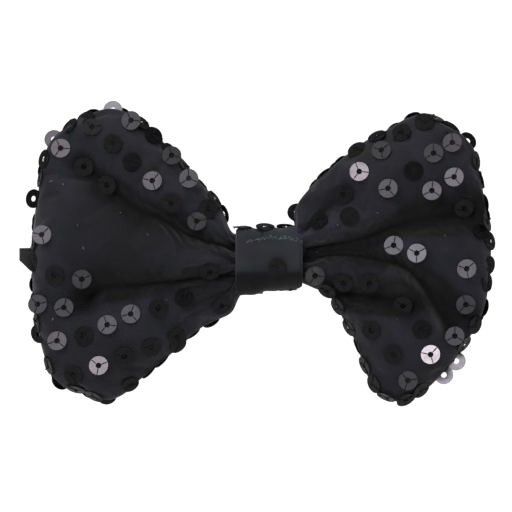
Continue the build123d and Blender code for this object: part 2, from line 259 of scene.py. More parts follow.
def build_fibre_group() -> bpy.types.NodeTree:
    """Make the group for loose fibres and uneven dye.

    Returns:
        The group, with a fine height and a slow tone.
    """
    inputs = (("Vector", VECTOR), ("Fineness", FLOAT, 3000.0), ("Patch", FLOAT, 60.0))
    g, given = new_group("fibres", "ShaderNodeTree", inputs, ("Height", "Tone"))
    fine = g.node("ShaderNodeTexNoise", Vector=given["Vector"], Scale=given["Fineness"])
    g.fill(fine, Detail=4.0, Distortion=1.5)
    slow = g.node("ShaderNodeTexNoise", Vector=given["Vector"], Scale=given["Patch"])
    tone = g.remap(slow.outputs[0], 0.35, 0.65, 0.0, 1.0)
    g.node("NodeGroupOutput", Height=fine.outputs[0], Tone=tone)
    return g.tree


def build_wear_group() -> bpy.types.NodeTree:
    """Make the group for rolling marks, handling smudges and fine scratches on metal.

    Returns:
        The group, with a height and a mask of the dulled places.
    """
    stretch = (40.0, 900.0, 900.0)
    inputs = (("Vector", VECTOR), ("Stretch", VECTOR, stretch), ("Smudge Size", FLOAT, 120.0))
    g, given = new_group("metal_wear", "ShaderNodeTree", inputs, ("Height", "Dull"))
    product = {"operation": "MULTIPLY"}
    rolled = g.numbered("ShaderNodeVectorMath", product, given["Vector"], given["Stretch"])
    lines = g.noise(rolled, 1.0, 4.0)
    smudge = g.node("ShaderNodeTexNoise", Vector=given["Vector"], Scale=given["Smudge Size"])
    dull = g.math("MULTIPLY_ADD", lines, 0.4, g.times(smudge.outputs[0], 0.6))
    g.node("NodeGroupOutput", Height=lines, Dull=g.remap(dull, 0.4, 0.62, 0.0, 1.0))
    return g.tree


class Groups:
    """The shader node groups that more than one finish uses."""

    knit: bpy.types.NodeTree
    fibre: bpy.types.NodeTree
    wear: bpy.types.NodeTree

    @classmethod
    def build(cls) -> None:
        """Make every group once."""
        cls.knit = build_knit_group()
        cls.fibre = build_fibre_group()
        cls.wear = build_wear_group()


# Finishes

Colour = Tuple[float, float, float, float]


class Finish:
    """What every finish can do: build its material, place a group in it and add a bump."""

    name: str

    def build(self) -> bpy.types.Material:
        """Make the material, with the finish drawn round its Principled shader."""
        material = bpy.data.materials.new(self.name)
        material.use_nodes = True
        g = Graph(material.node_tree)
        shader = g.node("ShaderNodeBsdfPrincipled")
        g.node("ShaderNodeOutputMaterial", Surface=shader.outputs[0])
        self.draw(g, shader)
        return material

    def draw(self, g: Graph, shader: Node) -> None:
        """Draw the finish in a material's graph."""
        raise NotImplementedError

    def group(self, g: Graph, tree: bpy.types.NodeTree, **inputs: Setting) -> Node:
        """Place a shared group in a material."""
        return g.node("ShaderNodeGroup", {"node_tree": tree}, **inputs)

    def bump(self, g: Graph, height: Socket, distance: float, strength: float = 0.6) -> Socket:
        """Turn a height into a normal.

        Args:
            g: The material's graph.
            height: The height, from 0 to 1.
            distance: What a height of 1 stands for, in metres.
            strength: How strongly it shows.

        Returns:
            The normal.
        """
        return g.node("ShaderNodeBump", Strength=strength, Distance=distance, Height=height).outputs[0]


@dataclass(frozen=True)
class KnitFinish(Finish):
    """Matt black jersey, the sequin ground or the wrap's plain strip, with painted shade and highlight."""

    name: str
    shade: Colour
    light_shade: Colour
    cool_shade: Colour
    # Painted shade: the colour laid into stitch gaps, folds and hollows, where shade falls.
    deep: Colour = (0.003, 0.003, 0.004, 1.0)
    # Painted highlight: the colour laid on ridges and lit bands, where light catches the cloth.
    ridge: Colour = (0.044, 0.043, 0.052, 1.0)
    wale: float = 0.62 * MM
    course: float = 0.5 * MM
    relief: float = 0.16 * MM
    sheen: float = 0.2

    def draw(self, g: Graph, shader: Node) -> None:
        """Draw the finish in a material's graph."""
        cloth = g.cloth()
        place = g.place()
        knit = self.group(g, Groups.knit, Cloth=cloth, Wale=self.wale, Course=self.course)
        fibre = self.group(g, Groups.fibre, Vector=place, Fineness=4200.0, Patch=85.0)
        hue = g.remap(g.noise(place, 210.0, 2.0), 0.4, 0.6, 0.0, 1.0)
        tinted = g.mix(fibre.outputs["Tone"], self.shade, g.mix(hue, self.light_shade, self.cool_shade))
        # Painted shade in the gaps between stitches.
        sunk = g.mix(g.times(knit.outputs["Gap"], 0.45), tinted, self.deep)
        # Painted shade and highlight from the folded mark: lighter on ridges, darker in folds and hollows.
        folded = g.marked("folded")
        lifted = g.mix(g.remap(folded, -0.2, -0.45, 0.0, 0.5), sunk, self.ridge)
        shaded = g.mix(g.remap(folded, 0.06, 0.58, 0.0, 0.95), lifted, self.deep)
        g.fill(shader, Base_Color=shaded)
        g.fill(shader, Roughness=g.remap(fibre.outputs["Height"], 0.3, 0.7, 0.78, 0.95))
        fuzz = g.times(fibre.outputs["Height"], 0.25)
        height = g.math("MULTIPLY_ADD", knit.outputs["Height"], 0.75, fuzz)
        g.fill(shader, Normal=self.bump(g, height, self.relief))
        g.fill(shader, Sheen_Weight=self.sheen, Sheen_Roughness=0.45, Specular_IOR_Level=0.25)


@dataclass(frozen=True)
class FilmFinish(Finish):
    """Black sequin film: dark, and painted silvery and metallic as a glint where a sequin is marked to
    catch light.
    """

    name: str = "sequin_film"
    dark: Colour = (0.004, 0.004, 0.005, 1.0)
    # Tints of the painted glint.
    cool: Colour = (0.89, 0.88, 1.0, 1.0)
    warm: Colour = (1.0, 0.87, 0.95, 1.0)

    def draw(self, g: Graph, shader: Node) -> None:
        """Draw the finish in a material's graph."""
        # Painted glint: each sequin's mark sets how silvery and metallic its film is, in place of the light
        # it catches.
        painted_glint = g.marked("painted_glint")
        tint = g.marked("tint")
        place = g.place()
        cloudy = g.noise(place, 420.0, 3.0)
        painted_glint_colour = g.mix(tint, self.cool, self.warm)
        shine = g.times(painted_glint, g.remap(cloudy, 0.35, 0.65, 0.17, 0.35))
        g.fill(shader, Base_Color=g.mix(shine, self.dark, painted_glint_colour))
        g.fill(shader, Metallic=g.remap(painted_glint, 0.01, 0.06, 0.0, 0.85))
        g.fill(shader, Roughness=g.remap(cloudy, 0.3, 0.7, 0.24, 0.36))
        g.fill(shader, Normal=self.bump(g, cloudy, 0.03 * MM, 0.3))
        g.fill(shader, Specular_IOR_Level=0.22)


@dataclass(frozen=True)
class ThreadFinish(Finish):
    """Twisted black sewing thread."""

    name: str = "black_thread"
    shade: Colour = (0.004, 0.004, 0.005, 1.0)
    light_shade: Colour = (0.010, 0.010, 0.012, 1.0)

    def draw(self, g: Graph, shader: Node) -> None:
        """Draw the finish in a material's graph."""
        place = g.place()
        fibre = self.group(g, Groups.fibre, Vector=place, Fineness=6500.0, Patch=1500.0)
        g.fill(shader, Base_Color=g.mix(fibre.outputs["Tone"], self.shade, self.light_shade))
        g.fill(shader, Normal=self.bump(g, fibre.outputs["Height"], 0.06 * MM))
        g.fill(shader, Roughness=0.75, Sheen_Weight=0.05, Specular_IOR_Level=0.2)


@dataclass(frozen=True)
class FeltFinish(Finish):
    """Matted felt or loose wadding, from its two shades."""

    name: str
    shade: Colour
    light_shade: Colour

    def draw(self, g: Graph, shader: Node) -> None:
        """Draw the finish in a material's graph."""
        place = g.place()
        fibre = self.group(g, Groups.fibre, Vector=place, Fineness=1800.0, Patch=400.0)
        g.fill(shader, Base_Color=g.mix(fibre.outputs["Tone"], self.shade, self.light_shade))
        g.fill(shader, Normal=self.bump(g, fibre.outputs["Height"], 0.35 * MM, 0.9))
        g.fill(shader, Roughness=0.95, Sheen_Weight=0.35, Sheen_Roughness=0.6, Specular_IOR_Level=0.2)


@dataclass(frozen=True)
class RibbonFinish(Finish):
    """Ribbed black grosgrain ribbon with the ribs across its length."""

    name: str = "grosgrain"
    shade: Colour = (0.016, 0.016, 0.017, 1.0)
    light_shade: Colour = (0.034, 0.034, 0.036, 1.0)
    rib: float = 0.55 * MM

    def draw(self, g: Graph, shader: Node) -> None:
        """Draw the finish in a material's graph."""
        cloth = g.cloth()
        place = g.place()
        fibre = self.group(g, Groups.fibre, Vector=place, Fineness=5000.0, Patch=300.0)
        along = g.node("ShaderNodeSeparateXYZ", Vector=cloth).outputs[0]
        ribs = g.math("SINE", g.times(along, math.tau / self.rib))
        ribs = g.math("MULTIPLY_ADD", ribs, 0.5, 0.5)
        g.fill(shader, Base_Color=g.mix(g.times(ribs, 0.7), self.shade, self.light_shade))
        height = g.math("MULTIPLY_ADD", ribs, 0.8, g.times(fibre.outputs["Height"], 0.2))
        g.fill(shader, Normal=self.bump(g, height, 0.14 * MM, 0.8))
        g.fill(shader, Roughness=g.remap(fibre.outputs["Tone"], 0.0, 1.0, 0.5, 0.68))
        g.fill(shader, Sheen_Weight=0.2, Specular_IOR_Level=0.35)


@dataclass(frozen=True)
class GlueFinish(Finish):
    """Set hot-melt glue: cloudy, waxy and slightly yellow."""

    name: str = "set_glue"
    shade: Colour = (0.62, 0.56, 0.42, 1.0)
    light_shade: Colour = (0.78, 0.74, 0.62, 1.0)

    def draw(self, g: Graph, shader: Node) -> None:
        """Draw the finish in a material's graph."""
        place = g.place()
        cloud = g.noise(place, 350.0, 4.0)
        g.fill(shader, Base_Color=g.mix(cloud, self.shade, self.light_shade))
        g.fill(shader, Roughness=g.remap(cloud, 0.3, 0.7, 0.22, 0.42))
        g.fill(shader, Normal=self.bump(g, cloud, 0.2 * MM, 0.5))
        g.fill(shader, Subsurface_Weight=0.15, Subsurface_Radius=(0.002, 0.0015, 0.001))


@dataclass(frozen=True)
class SteelFinish(Finish):
    """Nickel-plated sheet or bright spring wire, dulled by handling."""

    name: str
    bright: Colour
    dulled: Colour
    smooth: float
    rough: float
    stretch: Tuple[float, float, float] = (60.0, 900.0, 900.0)

    def draw(self, g: Graph, shader: Node) -> None:
        """Draw the finish in a material's graph."""
        place = g.place()
        wear = self.group(g, Groups.wear, Vector=place, Stretch=self.stretch, Smudge_Size=160.0)
        g.fill(shader, Base_Color=g.mix(wear.outputs["Dull"], self.bright, self.dulled))
        g.fill(shader, Roughness=g.remap(wear.outputs["Dull"], 0.0, 1.0, self.smooth, self.rough))
        g.fill(shader, Normal=self.bump(g, wear.outputs["Height"], 0.02 * MM, 0.35))
        g.fill(shader, Metallic=1.0)


@dataclass(frozen=True)
class StageFinish(Finish):
    """Seamless pale paper, which the camera sees evenly lit."""

    name: str = "pale_paper"
    shade: Colour = (0.86, 0.86, 0.86, 1.0)
    lift: float = 0.92

    def draw(self, g: Graph, shader: Node) -> None:
        """Draw the finish in a material's graph."""
        seen = g.node("ShaderNodeLightPath").outputs["Is Camera Ray"]
        g.fill(shader, Emission_Strength=g.times(seen, self.lift))
        g.fill(shader, Base_Color=self.shade, Emission_Color=(1.0, 1.0, 1.0, 1.0), Roughness=0.9)


class Wardrobe:
    """Every material of the bow, made once."""

    def __init__(self) -> None:
        """Build the groups, then each finish for its slot."""
        Groups.build()
        ground = (0.016, 0.0155, 0.020, 1.0), (0.027, 0.023, 0.037, 1.0), (0.017, 0.022, 0.027, 1.0)
        plain = (0.016, 0.018, 0.022, 1.0), (0.029, 0.033, 0.047, 1.0), (0.022, 0.031, 0.035, 1.0)
        knit = KnitFinish("sequin_ground", *ground)
        strip = KnitFinish("wrap_strip", *plain)
        felt = FeltFinish("black_felt", (0.012, 0.012, 0.013, 1.0), (0.030, 0.030, 0.032, 1.0))
        wadding = FeltFinish("white_wadding", (0.70, 0.70, 0.68, 1.0), (0.82, 0.82, 0.80, 1.0))
        plated = SteelFinish("nickel_plate", (0.62, 0.61, 0.59, 1.0), (0.50, 0.49, 0.48, 1.0), 0.16, 0.30)
        wire = SteelFinish("spring_wire", (0.50, 0.50, 0.51, 1.0), (0.30, 0.30, 0.30, 1.0), 0.22, 0.45)
        # Painted glint: the loose fibres are real, and their pale colour stands in for the light that they
        # catch.
        pale = ThreadFinish("painted_glint_fibre", (0.10, 0.11, 0.13, 1.0), (0.42, 0.48, 0.52, 1.0))
        self.painted_glint_fibre = pale.build()
        self.materials: Dict[Slot, bpy.types.Material] = {
            Slot.SEQUIN_CLOTH: knit.build(),
            Slot.WRAP_CLOTH: strip.build(),
            Slot.WADDING: wadding.build(),
            Slot.THREAD: ThreadFinish().build(),
            Slot.SEQUIN_FILM: FilmFinish().build(),
            Slot.FELT: felt.build(),
            Slot.GLUE: GlueFinish().build(),
            Slot.RIBBON: RibbonFinish().build(),
            Slot.PLATED_STEEL: plated.build(),
            Slot.SPRING_STEEL: wire.build(),
        }

    def dress(self, piece: Piece, slot: Slot) -> None:
        """Give a piece the material of its slot.

        Args:
            piece: A mesh made here.
            slot: The record's slot.
        """
        piece.data.materials.clear()
        piece.data.materials.append(self.materials[slot])

    def finish(self, piece: Piece, slot: Slot, node: str) -> None:
        """Dress a piece that rides on the bow and stands for a CAD node.

        Args:
            piece: A mesh made here.
            slot: The record's slot.
            node: The CAD node.
        """
        self.dress(piece, slot)
        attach(piece, Body.BOW.value)
        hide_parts(node)
        log.info("%s: %d faces", piece.name, len(piece.data.polygons))

    def dress_node(self, node: str, slot: Slot) -> None:
        """Give a carried-over CAD node its material.

        Args:
            node: The node's name.
            slot: The record's slot.
        """
        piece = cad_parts[node]
        if not piece.material_slots:
            piece.data.materials.append(None)
        for holder in piece.material_slots:
            holder.material = self.materials[slot]
        log.info("dressed %s", node)


# Mesh helpers


def link(piece: Piece) -> Piece:
    """Put an object in the scene and return it."""
    bpy.context.scene.collection.objects.link(piece)
    return piece


def mesh_piece(
    name: str, points: np.ndarray, faces: Sequence[Sequence[int]], cloth: Optional[np.ndarray] = None
) -> Piece:
    """Make a smooth mesh object.

    Args:
        name: The piece's name.
        points: Its vertices in metres.
        faces: Its faces as vertex numbers.
        cloth: Cloth coordinates of each vertex, in metres, for a UV map.

    Returns:
        The object, in the scene.
    """
    mesh = bpy.data.meshes.new(name)
    mesh.from_pydata([tuple(p) for p in points], [], [tuple(f) for f in faces])
    shade_smooth(mesh)
    if cloth is not None:
        layer = mesh.uv_layers.new(name="cloth")
        corners = np.zeros(len(mesh.loops), int)
        mesh.loops.foreach_get("vertex_index", corners)
        layer.data.foreach_set("uv", cloth[corners].astype(np.float32).ravel())
    mesh.update()
    return link(bpy.data.objects.new(name, mesh))


def thicken(piece: Piece, thickness: float, offset: float = -1.0) -> None:
    """Give a sheet its thickness.

    Args:
        piece: The sheet.
        thickness: In metres.
        offset: -1 for inwards, 1 for outwards.
    """
    wall = piece.modifiers.new("thickness", "SOLIDIFY")
    wall.thickness = thickness
    wall.offset = offset
    wall.use_even_offset = False


def soften(piece: Piece, levels: int = 1) -> None:
    """Add a subdivision surface."""
    smooth = piece.modifiers.new("smooth", "SUBSURF")
    smooth.levels = levels
    smooth.render_levels = levels


def shaped(source: Piece) -> bpy.types.Mesh:
    """The plain mesh that an object's curve or modifiers give."""
    graph = bpy.context.evaluated_depsgraph_get()
    seen = source.evaluated_get(graph)
    return bpy.data.meshes.new_from_object(seen, preserve_all_data_layers=True, depsgraph=graph)


def settle(piece: Piece) -> None:
    """Turn a piece's modifiers into plain mesh, as its final shape."""
    mesh = shaped(piece)
    mesh.name = piece.name
    piece.modifiers.clear()
    piece.data = mesh


def turn_outwards(piece: Piece, close: bool = False, merge: bool = False) -> None:
    """Turn every face of a closed shell outwards.

    Args:
        piece: The shell.
        close: Whether its open ends are filled first.
        merge: Whether its doubled points are joined first.
    """
    shell = bmesh.new()
    shell.from_mesh(piece.data)
    if close:
        bmesh.ops.holes_fill(shell, edges=shell.edges)
    if merge:
        bmesh.ops.remove_doubles(shell, verts=shell.verts, dist=0.001 * MM)
    bmesh.ops.recalc_face_normals(shell, faces=shell.faces)
    shell.to_mesh(piece.data)
    shell.free()


def shade_smooth(mesh: bpy.types.Mesh) -> None:
    """Shade every face of a mesh smooth."""
    mesh.polygons.foreach_set("use_smooth", [True] * len(mesh.polygons))


def mark_painted_shading(piece: Piece, values: np.ndarray) -> None:
    """Mark how far a cloth is folded in, for painted shade and highlight: -0.5 lights a ridge, 1 darkens a
    deep fold.
    """
    layer = piece.data.attributes.new("folded", "FLOAT", "POINT")
    layer.data.foreach_set("value", values)


def run_along(line: np.ndarray) -> np.ndarray:
    """Distance along a line to each of its points."""
    steps = np.linalg.norm(np.diff(line, axis=0), axis=1)
    return np.concatenate([[0], np.cumsum(steps)])


def grid_faces(index: np.ndarray, flip: bool) -> Quads:
    """Quads of a grid of vertex numbers.

    Args:
        index: Vertex numbers by column and row.
        flip: Whether to turn every face over.

    Returns:
        The quads.
    """
    faces = []
    for i in range(index.shape[0] - 1):
        for j in range(index.shape[1] - 1):
            quad = (index[i, j], index[i + 1, j], index[i + 1, j + 1], index[i, j + 1])
            faces.append(quad[::-1] if flip else quad)
    return [tuple(int(v) for v in quad) for quad in faces]


def smooth_line(points: Sequence[Sequence[float]], count: int) -> np.ndarray:
    """Spread points evenly along a smooth curve through a few given ones.

    Args:
        points: The given points.
        count: How many intervals the result has.

    Returns:
        count + 1 points.
    """
    given = np.array(points, float)
    padded = np.vstack([2 * given[0] - given[1], given, 2 * given[-1] - given[-2]])
    dense = []
    for k in range(len(given) - 1):
        a, b, c, d = padded[k:k + 4]
        bend, twist = 2 * a - 5 * b + 4 * c - d, 3 * b - a - 3 * c + d
        for t in np.linspace(0, 1, 24, endpoint=False):
            dense.append(0.5 * (2 * b + (c - a) * t + bend * t ** 2 + twist * t ** 3))
    dense.append(given[-1])
    line = np.array(dense)
    length = run_along(line)
    wanted = np.linspace(0, length[-1], count + 1)
    return np.stack([np.interp(wanted, length, line[:, k]) for k in range(line.shape[1])], axis=1)


def slow_noise(x: np.ndarray, y: np.ndarray, seed: int, waves: int = 5) -> np.ndarray:
    """A smooth random field from a few sine waves.

    Args:
        x: First coordinate, with about one bump for each unit.
        y: Second coordinate.
        seed: Fixes the waves.
        waves: How many are added.

    Returns:
        Values of about -1 to 1.
    """
    rng = random.Random(seed)
    total = np.zeros(np.broadcast(x, y).shape)
    for _ in range(waves):
        turn, pace, phase = rng.uniform(0, math.tau), rng.uniform(0.6, 1.5), rng.uniform(0, math.tau)
        total = total + np.sin(math.tau * pace * (x * math.cos(turn) + y * math.sin(turn)) + phase)
    return total / math.sqrt(waves) / 1.4


# Sequins


@dataclass
class Seat:
    """Where one sequin is sewn.

    Attributes:
        point: Centre of its hole.
        cloth: Outward normal of the cloth there; not used.
        facing: The way its film faces.
        painted_glint: How bright its film is painted as a glint, in place of the light it catches, from 0
            to 1.
        tint: 0 for a cool painted glint, 1 for a warm one.
        loose: Share of the random tilt that it takes.
        hanging: Whether it hangs loose past the edge, without its three stitches.
    """

    point: Vector
    cloth: Vector
    facing: Vector
    painted_glint: float = 0.0
    tint: float = 0.5
    loose: float = 1.0
    hanging: bool = False


@dataclass(frozen=True)
class LitSequin:
    """A sequin that faces the key light, with a painted glint on its film.

    Attributes:
        x: Place along X, in metres.
        z: Height, in metres.
        painted_glint: How bright its film is painted as a glint, from 0 to 1.
        tint: 0 for a cool painted glint, 1 for a warm one.
    """

    x: float
    z: float
    painted_glint: float
    tint: float = 0.5


class SmallWork(Enum):
    """What a tree sets on each seat."""

    DISC = "disc"
    STITCHES = "stitches"
    FIBRE = "fibre"


class SequinTree:
    """Geometry nodes that set a flat washer, its three stitches or a loose fibre on every seat."""

    SEGMENTS = 20

    def __init__(self, name: str, kind: SmallWork) -> None:
        """Build the tree.

        Args:
            name: The tree's name.
            kind: What it sets on each seat.
        """
        inputs = (
            ("Seats", GEOMETRY), ("Diameter", FLOAT, 5 * MM), ("Hole", FLOAT, 1.25 * MM),
            ("Thickness", FLOAT, 0.2 * MM), ("Thread", FLOAT, 0.28 * MM), ("Tilt", FLOAT, 0.16),
            ("Seed", "NodeSocketInt", 1), ("Material", "NodeSocketMaterial"),
        )
        self.g, self.given = new_group(name, "GeometryNodeTree", inputs, ("Geometry",), GEOMETRY)
        self.tree = self.g.tree
        makers = {
            SmallWork.DISC: self.washer,
            SmallWork.STITCHES: self.stitches,
            SmallWork.FIBRE: self.fibre,
        }
        self.spread(makers[kind]())

    def washer(self) -> Socket:
        """A flat ring with a square-cut edge."""
        g = self.g
        outer, inner = g.times(self.given["Diameter"], 0.5), g.times(self.given["Hole"], 0.5)
        middle, width = g.times(g.math("ADD", outer, inner), 0.5), g.math("SUBTRACT", outer, inner)
        path = g.node("GeometryNodeCurvePrimitiveCircle", Resolution=self.SEGMENTS, Radius=middle)
        sizes = {"Width": width, "Height": self.given["Thickness"]}
        section = g.node("GeometryNodeCurvePrimitiveQuadrilateral", **sizes)
        return self.swept(path, section, False)

    def swept(self, path: Node, section: Node, caps: bool) -> Socket:
        """Sweep a section along a path, with or without closed ends."""
        curves = {"Curve": path.outputs[0], "Profile_Curve": section.outputs[0]}
        return self.g.node("GeometryNodeCurveToMesh", **curves, Fill_Caps=caps).outputs[0]

    def bent_thread(self, sides: int, *ends: Tuple[Setting, Setting]) -> Socket:
        """A thread with closed ends along a bent path.

        Args:
            sides: Of its section.
            ends: X and Z of its start, of the point that it bends towards and of its end.

        Returns:
            Its mesh.
        """
        g = self.g
        places = [g.node("ShaderNodeCombineXYZ", X=x, Z=z).outputs[0] for x, z in ends]
        path = g.node("GeometryNodeCurveQuadraticBezier", Resolution=5)
        g.fill(path, Start=places[0], Middle=places[1], End=places[2])
        thin = g.times(self.given["Thread"], 0.5)
        section = g.node("GeometryNodeCurvePrimitiveCircle", Resolution=sides, Radius=thin)
        return self.swept(path, section, True)

    def stitches(self) -> Socket:
        """Three stitches from the hole over the rim, a third of a turn apart."""
        g, thread = self.g, self.given["Thread"]
        rim = g.math("MULTIPLY_ADD", self.given["Diameter"], 0.5, g.times(thread, 0.45))
        start, end = (0.0, g.times(thread, -0.9)), (rim, g.times(thread, -1.1))
        stitch = self.bent_thread(5, start, (g.times(rim, 0.85), g.times(thread, 2.8)), end)
        join = g.node("GeometryNodeJoinGeometry")
        for third in range(3):
            turn = (0.0, 0.0, third * math.tau / 3)
            turned = g.node("GeometryNodeTransform", Geometry=stitch, Rotation=turn)
            g.tree.links.new(turned.outputs[0], join.inputs[0])
        return join.outputs[0]

    def fibre(self) -> Socket:
        """A bent hair as long as the diameter and as thick as the thread."""
        tenth, most, end = (self.g.times(self.given["Diameter"], share) for share in (0.1, 0.6, 0.7))
        return self.bent_thread(4, (0.0, 0.0), (tenth, most), (end, end))

    def random_value(self, low: float, high: float, salt: int) -> Socket:
        """A random number for each seat, the same in both trees for seats of the same number."""
        made = self.g.node("FunctionNodeRandomValue", {"data_type": "FLOAT"})
        made.inputs[2].default_value = low
        made.inputs[3].default_value = high
        self.g.fill(made, Seed=self.g.math("ADD", self.given["Seed"], float(salt)))
        return made.outputs[1]

    def spread(self, shape: Socket) -> None:
        """Set the shape on every seat, turned its own way, and finish the tree.

        Args:
            shape: The washer, the stitches or the fibre.
        """
        g, given = self.g, self.given
        named = "GeometryNodeInputNamedAttribute"
        facing = g.node(named, {"data_type": "FLOAT_VECTOR"}, Name="facing").outputs[0]
        loose = g.node(named, {"data_type": "FLOAT"}, Name="loose").outputs[0]
        aligned = g.node("FunctionNodeAlignRotationToVector", {"axis": "Z"}, Vector=facing).outputs[0]
        reach = g.times(given["Tilt"], loose)
        lean = g.node("ShaderNodeCombineXYZ", Z=self.random_value(0.0, math.tau, 37))
        g.fill(lean, X=g.times(reach, self.random_value(-1.0, 1.0, 11)))
        g.fill(lean, Y=g.times(reach, self.random_value(-1.0, 1.0, 23)))
        local = g.numbered("FunctionNodeEulerToRotation", {}, lean.outputs[0])
        turned = g.numbered("FunctionNodeRotateRotation", {"rotation_space": "LOCAL"}, aligned, local)
        spread = g.node("GeometryNodeInstanceOnPoints", Points=given["Seats"], Instance=shape)
        g.fill(spread, Rotation=turned)
        real = g.node("GeometryNodeRealizeInstances", Geometry=spread.outputs[0])
        flat = g.node("GeometryNodeSetShadeSmooth", Geometry=real.outputs[0], Shade_Smooth=False)
        dressed = g.node("GeometryNodeSetMaterial", Geometry=flat.outputs[0], Material=given["Material"])
        g.node("NodeGroupOutput", Geometry=dressed.outputs[0])

    def socket_id(self, name: str) -> str:
        """Identifier of a named input."""
        return next(i.identifier for i in self.tree.interface.items_tree if i.name == name)


def grown(name: str, tree: SequinTree, seats: Sequence[Seat], values: Dict[str, object]) -> Piece:
    """Run a tree on seats and keep the result as a plain mesh.

    Args:
        name: The piece's name.
        tree: The tree.
        seats: Where its shape goes.
        values: The tree's named inputs.

    Returns:
        The piece.
    """
    mesh = bpy.data.meshes.new(name + "_seats")
    mesh.from_pydata([tuple(s.point) for s in seats], [], [])
    for key in ("painted_glint", "tint", "loose"):
        layer = mesh.attributes.new(key, "FLOAT", "POINT")
        layer.data.foreach_set("value", [float(getattr(s, key)) for s in seats])
    layer = mesh.attributes.new("facing", "FLOAT_VECTOR", "POINT")
    layer.data.foreach_set("vector", [c for s in seats for c in s.facing])
    host = link(bpy.data.objects.new(name + "_seats", mesh))
    modifier = host.modifiers.new("sequins", "NODES")
    modifier.node_group = tree.tree
    for key, value in values.items():
        modifier[tree.socket_id(key)] = value
    result = shaped(host)
    result.name = name
    bpy.data.objects.remove(host)
    return link(bpy.data.objects.new(name, result))


@dataclass
class SequinShop:
    """Cuts and sews the sequins.

    Attributes:
        wardrobe: The materials.
        diameter: Of a sequin.
        hole: Diameter of its hole.
        thickness: Of the film.
        thread: Diameter of the sewing thread.
        tilt: The most that a loose sequin leans, in radians.
        pitch: From one sequin to the next in a row.
    """

    SIZES = ("diameter", "hole", "thickness", "thread", "tilt")
    FIBRE_TILT = 0.9  # the most that a loose fibre leans, in radians

    wardrobe: Wardrobe
    diameter: float = 5.0 * MM
    hole: float = 1.5 * MM
    thickness: float = 0.2 * MM
    thread: float = 0.25 * MM
    tilt: float = 0.13
    pitch: float = 6.8 * MM
    discs: SequinTree = field(init=False)
    stitches: SequinTree = field(init=False)
    fibres: SequinTree = field(init=False)

    def __post_init__(self) -> None:
        """Build the three trees."""
        self.discs = SequinTree("sequin_discs", SmallWork.DISC)
        self.stitches = SequinTree("sequin_stitches", SmallWork.STITCHES)
        self.fibres = SequinTree("loose_fibres", SmallWork.FIBRE)

    def sew(self, name: str, seats: Sequence[Seat], node: str, seed: int) -> None:
        """Make a group of sequins and their stitches.

        Args:
            name: Start of both pieces' names.
            seats: Where they go.
            node: The CAD node that they stand for.
            seed: Fixes their small leans.
        """
        sizes = {key.capitalize(): getattr(self, key) for key in self.SIZES}
        sewn = [seat for seat in seats if not seat.hanging]
        jobs = (
            ("_discs", self.discs, Slot.SEQUIN_FILM, seats),
            ("_stitches", self.stitches, Slot.THREAD, sewn),
        )
        for ending, tree, slot, kept in jobs:
            material = self.wardrobe.materials[slot]
            piece = grown(name + ending, tree, kept, {**sizes, "Seed": seed, "Material": material})
            self.wardrobe.finish(piece, slot, node)

    def fray(self, name: str, seats: Sequence[Seat], length: float, thickness: float, seed: int) -> None:
        """Leave loose fibres on the cloth, coloured pale as a painted glint.

        Args:
            name: The piece's name.
            seats: Where they start.
            length: Of a fibre.
            thickness: Of a fibre.
            seed: Fixes their leans.
        """
        sizes = {"Diameter": length, "Thread": thickness, "Tilt": self.FIBRE_TILT, "Seed": seed}
        sizes["Material"] = self.wardrobe.painted_glint_fibre
        piece = grown(name, self.fibres, seats, sizes)
        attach(piece, Body.BOW.value)
        log.info("%s: %d fibres, %d faces", name, len(seats), len(piece.data.polygons))

    def rest_on(
        self, seat: Seat, cloth: BVHTree, slack: float = 0.14 * MM, most: float = 2.4 * MM
    ) -> None:
        """Lift a sequin until it lies on the cloth.

        Args:
            seat: The sequin's seat, which is moved.
            cloth: The cloth's faces.
            slack: Air left under it.
            most: The most that it is lifted.
        """
        axis = seat.facing.normalized()
        side = axis.orthogonal().normalized()
        above, lift = 4 * MM, 0.0
        for k in range(24):
            turn = Matrix.Rotation(k * math.tau / 12, 3, axis)
            rim = seat.point + (turn @ side) * (self.diameter / (2 if k < 12 else 3.2))
            hit, _, _, distance = cloth.ray_cast(rim + axis * above, -axis, 2 * above)
            if hit is not None:
                lift = max(lift, above - distance)
        seat.point = seat.point + axis * (min(lift, most) + slack + self.thickness / 2)


# Padded loops


@dataclass(frozen=True)
class Crease:
    """A valley, or with a negative depth a ridge, along a bent line in a loop's cloth.

    Attributes:
        path: Points that it passes, in shares of the loop's length and half height, from the waist.
        depth: How deep it is at its start.
        narrow: Its half width at its start.
        wide: Its half width at its end.
        fade: Share of the depth that is left at its end.
    """

    path: Sequence[Share]
    depth: float
    narrow: float
    wide: float
    fade: float = 0.5


